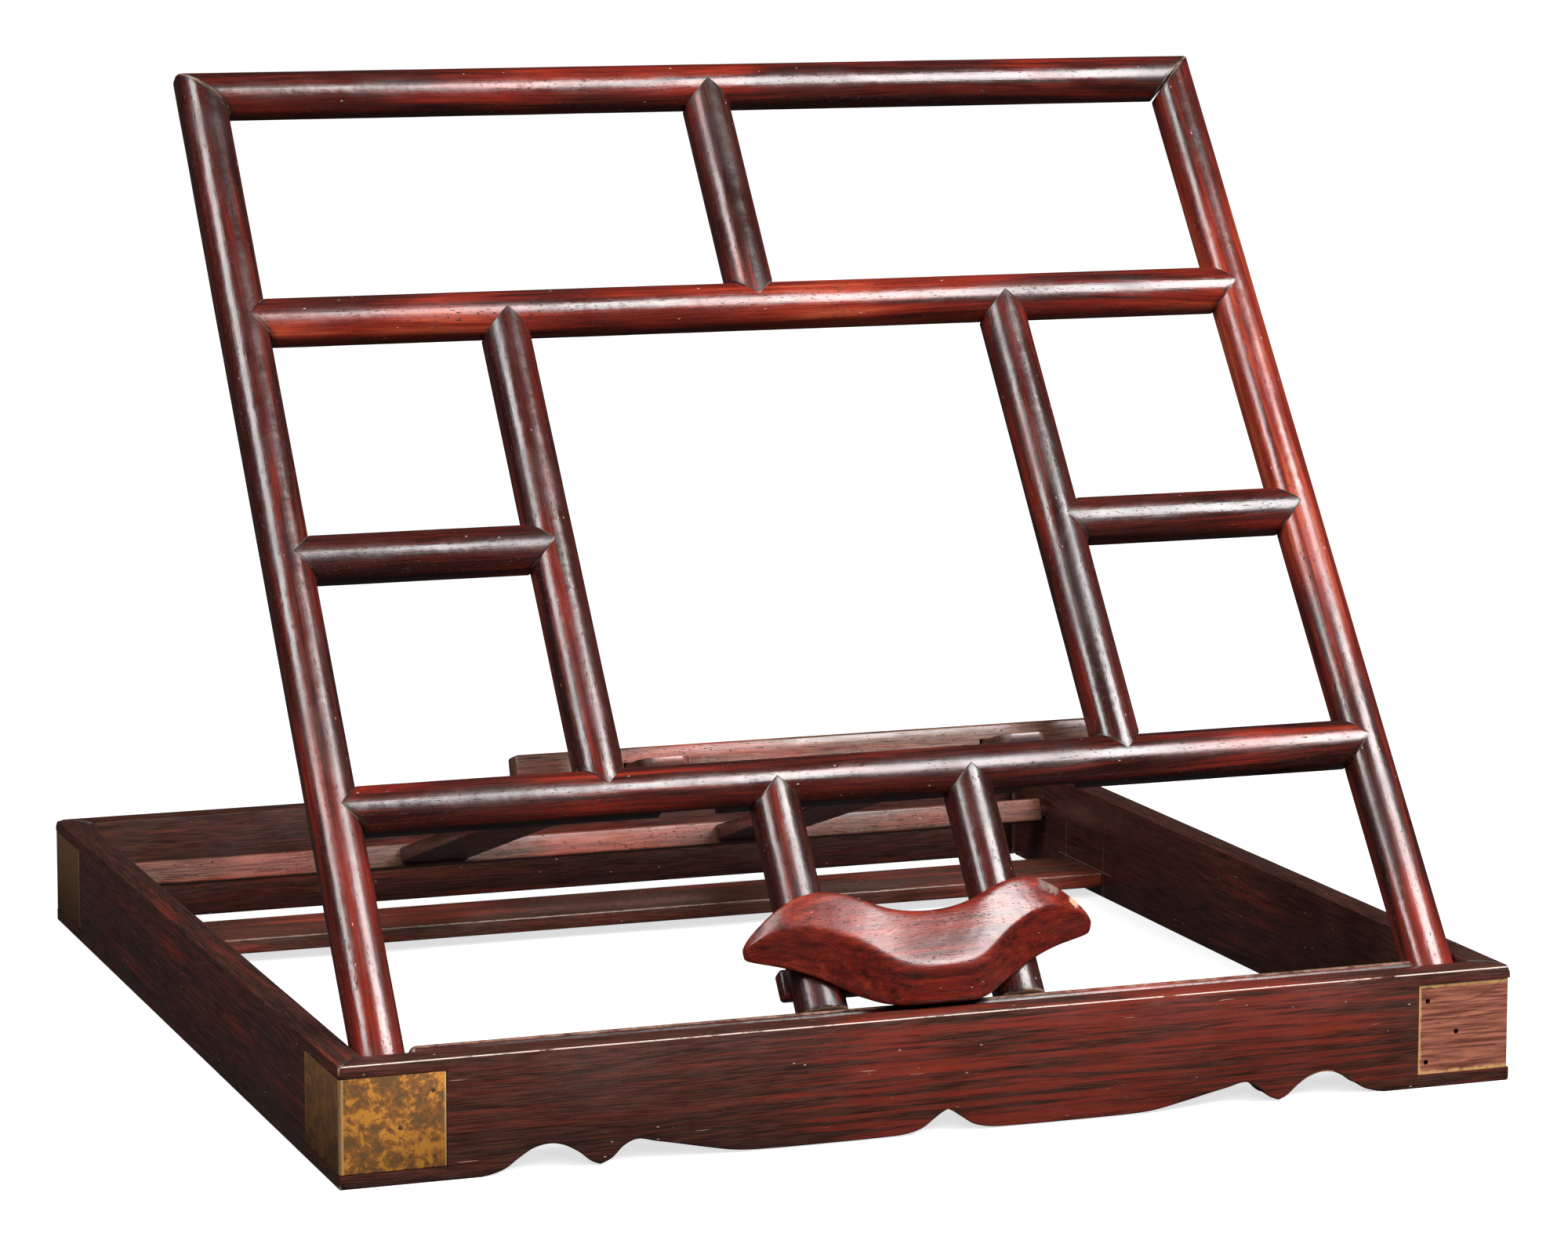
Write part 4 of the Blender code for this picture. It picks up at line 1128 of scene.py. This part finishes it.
class STAND_OT_rest(StandOperator, Operator):
    """Make the carved horned rest and finish the tongue and batten that guide it"""

    bl_idname = "stand.rest"
    bl_label = "Carved rest"

    def execute(self, context):
        colours = self.colours
        looks = dict(shade=0.60, red=0.62, gloss=0.32, coat=0.18, pores=1.1, dust=1.0)
        looks.update(contrast=0.35, marks=horn_marks)
        finish = rosewood("carved_rest_rosewood", colours, "slope_across", 301.0, **looks)
        mesh = self.skin()
        mesh.materials.append(finish)
        piece = add_piece("carved_rest_wood", mesh, "rest", ["carved_rest"])
        smooth = piece.modifiers.new("smooth", "SUBSURF")
        smooth.levels = smooth.render_levels = 3
        for node, seed in (("rest_tongue", 311.0), ("rest_back_batten", 321.0)):
            finish = rosewood(node + "_rosewood", colours, "slope_across", seed, 0.48, 0.45, 0.34, 0.1)
            add_piece(node + "_wood", softened(node, 0.4 * MM, finish), "rest", [node])
        return {"FINISHED"}

    def skin(self):
        """The carved rest's control skin: nine lines along it, from the back's upper edge over the
        rim, the ridge and the lowest line to the back's lower edge. It works in mm."""
        back = 5.7
        right = list(rest_sections())
        stations = [(-row[0], *row[1:]) for row in reversed(right[1:])] + right
        bm = bmesh.new()
        crease = bm.edges.layers.float.new("crease_edge")
        layer = bm.verts.layers.float.new("wear")
        rings = []
        for x, rim, ridge, low, low_back in stations:
            section = [
                (rim[0] - 0.4, back),
                (rim[0] - 0.2, (back + rim[1]) / 2),
                rim,
                (rim[0] * 0.62 + ridge[0] * 0.38, rim[1] * 0.62 + ridge[1] * 0.38 + 0.1),
                (rim[0] * 0.25 + ridge[0] * 0.75, rim[1] * 0.25 + ridge[1] * 0.75 + 0.15),
                ridge,
                ((ridge[0] + low[0]) / 2 - 0.2, (ridge[1] + low[1]) / 2 + 0.3),
                low,
                (low_back, back),
            ]
            ring = [bm.verts.new(LATTICE @ (Vector((x, s, h)) * MM)) for s, h in section]
            ring[2][layer] = 0.35
            rings.append(ring)
        bridge(bm, rings)
        count = len(rings[0])
        for ring in (rings[0], rings[-1]):
            centre = bm.verts.new(sum((vertex.co for vertex in ring), Vector()) / count)
            for here in range(count):
                bm.faces.new((ring[here], ring[(here + 1) % count], centre))
        # How hard a line stays: the back's edges fully, the rim, ridge and lowest line a little
        holds = {0: 1.0, 2: 0.35, 5: 0.30, 7: 0.35, 8: 1.0}
        for ring, after in zip(rings, rings[1:]):
            for line, hold in holds.items():
                bm.edges.get((ring[line], after[line]))[crease] = hold
        bmesh.ops.recalc_face_normals(bm, faces=bm.faces)
        for face in bm.faces:
            face.smooth = True
        return mesh_from(bm, "carved_rest")


class STAND_OT_brass(StandOperator, Operator):
    """Make the three corner plates that are left, and their nails"""

    bl_idname = "stand.brass"
    bl_label = "Brass corners"

    def execute(self, context):
        sizes, colours = self.sizes, self.colours
        spots = []
        for place in PLATES:
            worn = place == "front_left"
            finish = brass_finish(place + "_brass", colours, 0.51 if worn else 0.62, 3.0 + len(spots))
            mesh = self.plate(place, sizes)
            mesh.materials.append(finish)
            add_piece(place + "_plate", settle(mesh, 50.0), "base", ["brass_" + place])
            x, y, out_x, out_y = CORNERS[place]
            for away, height in NAIL_SPOTS:
                face_spot = (x - out_x * away, y - out_y * NAIL_SUNK, height)
                side_spot = (x - out_x * NAIL_SUNK, y - out_y * away * SIDE_STRETCH, height)
                spots.append((face_spot, (0.0, out_y, 0.0)))
                spots.append((side_spot, (out_x, 0.0, 0.0)))
        self.nails(spots, sizes, colours)
        return {"FINISHED"}

    def plate(self, place, sizes):
        x, y, out_x, out_y = CORNERS[place]
        thick, fold = sizes.plate, 0.8 * MM
        turn = arc((fold, fold), fold, 180.0, 270.0, 5)
        outline = [(0.0, sizes.side_leaf), *turn, (sizes.leaf, 0.0)]
        shown = len(outline)
        outline += [(sizes.leaf, thick), (thick, thick), (thick, sizes.side_leaf)]
        rim = 0.12 * MM
        rows = (PLATE_LOW, PLATE_LOW + rim, PLATE_HIGH - rim, PLATE_HIGH)
        bm = bmesh.new()
        layer = bm.verts.layers.float.new("wear")
        rings = []
        for number, z in enumerate(rows):
            inset = 0.10 * MM if number in (0, 3) else 0.0
            ring = []
            for index, (a, b) in enumerate(outline):
                on_face = index < shown
                a_in = a + (inset if on_face and b > fold else 0.0)
                b_in = b + (inset if on_face and a >= fold else 0.0)
                vertex = bm.verts.new((x - out_x * a_in, y - out_y * b_in, z))
                vertex[layer] = 0.8 if on_face else 0.1
                ring.append(vertex)
            rings.append(ring)
        bridge(bm, rings)
        bm.faces.new(rings[0])
        bm.faces.new(rings[-1])
        bmesh.ops.recalc_face_normals(bm, faces=bm.faces)
        return self.divided(mesh_from(bm, place + "_plate"), x, y, sizes)

    def divided(self, mesh, x, y, sizes):
        """Extra rows near the fold and the leaf ends keep the rubbed rims narrow."""
        bm = bmesh_from(mesh)
        layer = bm.verts.layers.float["wear"]
        for axis, corner, leaf in ((0, x, sizes.leaf), (1, y, sizes.side_leaf)):
            inward = -1 if corner > 0 else 1
            for reach in (1.5 * MM, leaf - 0.7 * MM):
                spot, normal = Vector(), Vector()
                spot[axis], normal[axis] = corner + inward * reach, 1.0
                whole = bm.verts[:] + bm.edges[:] + bm.faces[:]
                made = bmesh.ops.bisect_plane(bm, geom=whole, plane_co=spot, plane_no=normal)
                for item in made["geom_cut"]:
                    if isinstance(item, bmesh.types.BMVert):
                        item[layer] = 0.1
        return mesh_from(bm, mesh)

    def nails(self, spots, sizes, colours):
        """Nail heads on tiny faces, one at each spot, that face the way the heads stand out."""
        holder_mesh = bpy.data.meshes.new("nail_spots")
        corners, faces = [], []
        for (x, y, z), normal in spots:
            normal = Vector(normal)
            side = Vector((0.0, 0.0, 1.0)).cross(normal)
            start = len(corners)
            for a, b in ((1, 0), (-0.5, 0.8), (-0.5, -0.8)):
                corners.append(Vector((x, y, z)) + (side * a + Vector((0.0, 0.0, b))) * 1e-5)
            faces.append((start, start + 1, start + 2))
        holder_mesh.from_pydata(corners, [], faces)
        holder = in_scene("nail_spots", holder_mesh)
        finish = brass_finish("nail_brass", colours, 0.66, 40.0)
        values = {"Spots": holder, "Radius": sizes.nail, "Seed": 3, "Material": finish}
        mesh = grow(nail_tree(), values, "corner_nails")
        remove(holder)
        nodes = [
            f"pin_{place}_{face}_{number}"
            for place in PLATES
            for face in ("face", "side")
            for number in (1, 2, 3)
        ]
        add_piece("corner_nails", settle(mesh, 60.0, 1e-7), "base", nodes)


# Each light's direction from the stand, distance, width, height, watts, and if it is mirrored
SOFT_BOXES = (
    ("front_right_box", (0.44, -0.60, 0.66), 1.75, 0.95, 0.80, 48.0, True),
    ("left_box", (-0.66, -0.24, 0.71), 1.6, 0.4, 1.1, 19.0, True),
    ("low_front_fill", (-0.20, -0.85, 0.48), 2.2, 1.2, 0.9, 25.0, False),
)
STAND_MIDDLE = Vector((0.0, 0.0, 0.12))

# The camera: its place from the middle of the front rail's foot, its directions and its lens
VIEW_FROM = Vector((-0.5276, -1.2748, 0.3687))
VIEW_FORWARD = Vector((0.331, 0.935, -0.126))
VIEW_RIGHT = Vector((0.943, -0.334, -0.001))
VIEW_LENS = 113.73
VIEW_SHIFT = (0.0564, -0.1021)


class STAND_OT_stage(StandOperator, Operator):
    """Set the pale floor, the soft boxes, the white surroundings and the camera"""

    bl_idname = "stand.stage"
    bl_label = "Floor, light and camera"

    def execute(self, context):
        scene = context.scene
        self.floor()
        self.surroundings(scene)
        for box in SOFT_BOXES:
            self.soft_box(*box)
        self.camera(scene)
        scene.view_settings.view_transform = "Standard"
        return {"FINISHED"}

    def floor(self):
        """A floor that turns white with distance, and that the polish does not mirror."""
        mesh = bpy.data.meshes.new("floor")
        corners = [(6.0 * x, 6.0 * y, 0.0) for x, y in ((-1, -1), (1, -1), (1, 1), (-1, 1))]
        mesh.from_pydata(corners, [], [(0, 1, 2, 3)])
        material, shader, bench = finish_bench("pale_floor", 0.0, 0.3, 0.0)
        place = bench.place()
        away = bench.add("ShaderNodeVectorMath", {"operation": "LENGTH"}, {0: place}, out=1)
        shade = self.colours.floor
        glow = away.ramp(0.5, 2.2)
        colour = bench.mix(glow, [value * 0.6 for value in shade], shade)
        lift = bench.mix(glow, [value * 0.82 for value in shade], (1.0, 1.0, 1.0))
        feed(bench, shader, Base_Color=colour, Roughness=1.0, Emission_Color=lift)
        shader.inputs["Emission Strength"].default_value = 1.0
        mesh.materials.append(material)
        floor = in_scene("floor", mesh)
        floor.visible_glossy = False
        floor.visible_diffuse = False

    def surroundings(self, scene):
        """White to the camera, dim to everything that they light."""
        world = bpy.data.worlds.new("studio")
        world.use_nodes = True
        scene.world = world
        bench = Bench(world.node_tree)
        back = world.node_tree.nodes["Background"]
        seen = bench.add("ShaderNodeLightPath", None, None, out="Is Camera Ray")
        place = bench.add("ShaderNodeTexCoord", None, None, out="Generated")
        _, _, up = bench.parts(place)
        room = up.ramp(-0.2, 0.9, 0.035, 0.02)
        strength = room + seen * (1.0 - room)
        bench.tree.links.new(strength.socket, back.inputs["Strength"])
        back.inputs["Color"].default_value = (1.0, 1.0, 1.0, 1.0)

    def soft_box(self, name, way, away, wide, high, power, mirrored):
        """A rectangular light aimed at the stand's middle, seen in its polish if mirrored."""
        light = bpy.data.lights.new(name, "AREA")
        light.shape = "RECTANGLE"
        light.size, light.size_y = wide, high
        light.energy = power
        lamp = in_scene(name, light)
        spot = Vector(way).normalized() * away
        lamp.location = STAND_MIDDLE + spot
        lamp.rotation_mode = "QUATERNION"
        lamp.rotation_quaternion = (-spot).to_track_quat("-Z", "Y")
        lamp.visible_glossy = mirrored

    def camera(self, scene):
        data = bpy.data.cameras.new("view")
        data.sensor_width, data.lens = 36.0, VIEW_LENS
        data.shift_x, data.shift_y = VIEW_SHIFT
        data.clip_start, data.clip_end = 0.05, 50.0
        camera = in_scene("view", data)
        forward = VIEW_FORWARD.normalized()
        right = (VIEW_RIGHT - forward * VIEW_RIGHT.dot(forward)).normalized()
        up = right.cross(forward)
        turn = Matrix((right, up, -forward)).transposed().to_4x4()
        camera.matrix_world = Matrix.Translation(VIEW_FROM + Vector((0.0, FRONT, 0.0))) @ turn
        scene.camera = camera


class STAND_PT_panel(Panel):
    """Lists the steps that build the stand"""

    bl_label = "Folding Lattice Stand"
    bl_idname = "STAND_PT_panel"
    bl_space_type = "VIEW_3D"
    bl_region_type = "UI"
    bl_category = "Stand"

    def draw(self, context):
        column = self.layout.column()
        for step in STEPS:
            column.operator(step.bl_idname)
        for group in (context.scene.stand_sizes, context.scene.stand_colours):
            for key in group.bl_rna.properties.keys():
                if key not in ("rna_type", "name"):
                    column.prop(group, key)


STEPS = (STAND_OT_rails, STAND_OT_lattice, STAND_OT_prop, STAND_OT_rest, STAND_OT_brass, STAND_OT_stage)
CLASSES = (StandSizes, StandColours, *STEPS, STAND_PT_panel)


def register():
    for item in CLASSES:
        bpy.utils.register_class(item)
    bpy.types.Scene.stand_sizes = PointerProperty(type=StandSizes)
    bpy.types.Scene.stand_colours = PointerProperty(type=StandColours)


def unregister():
    del bpy.types.Scene.stand_sizes
    del bpy.types.Scene.stand_colours
    for item in reversed(CLASSES):
        bpy.utils.unregister_class(item)


def main():
    register()
    for step in (
        bpy.ops.stand.rails,
        bpy.ops.stand.lattice,
        bpy.ops.stand.prop,
        bpy.ops.stand.rest,
        bpy.ops.stand.brass,
        bpy.ops.stand.stage,
    ):
        step()


if __name__ == "__main__":
    main()
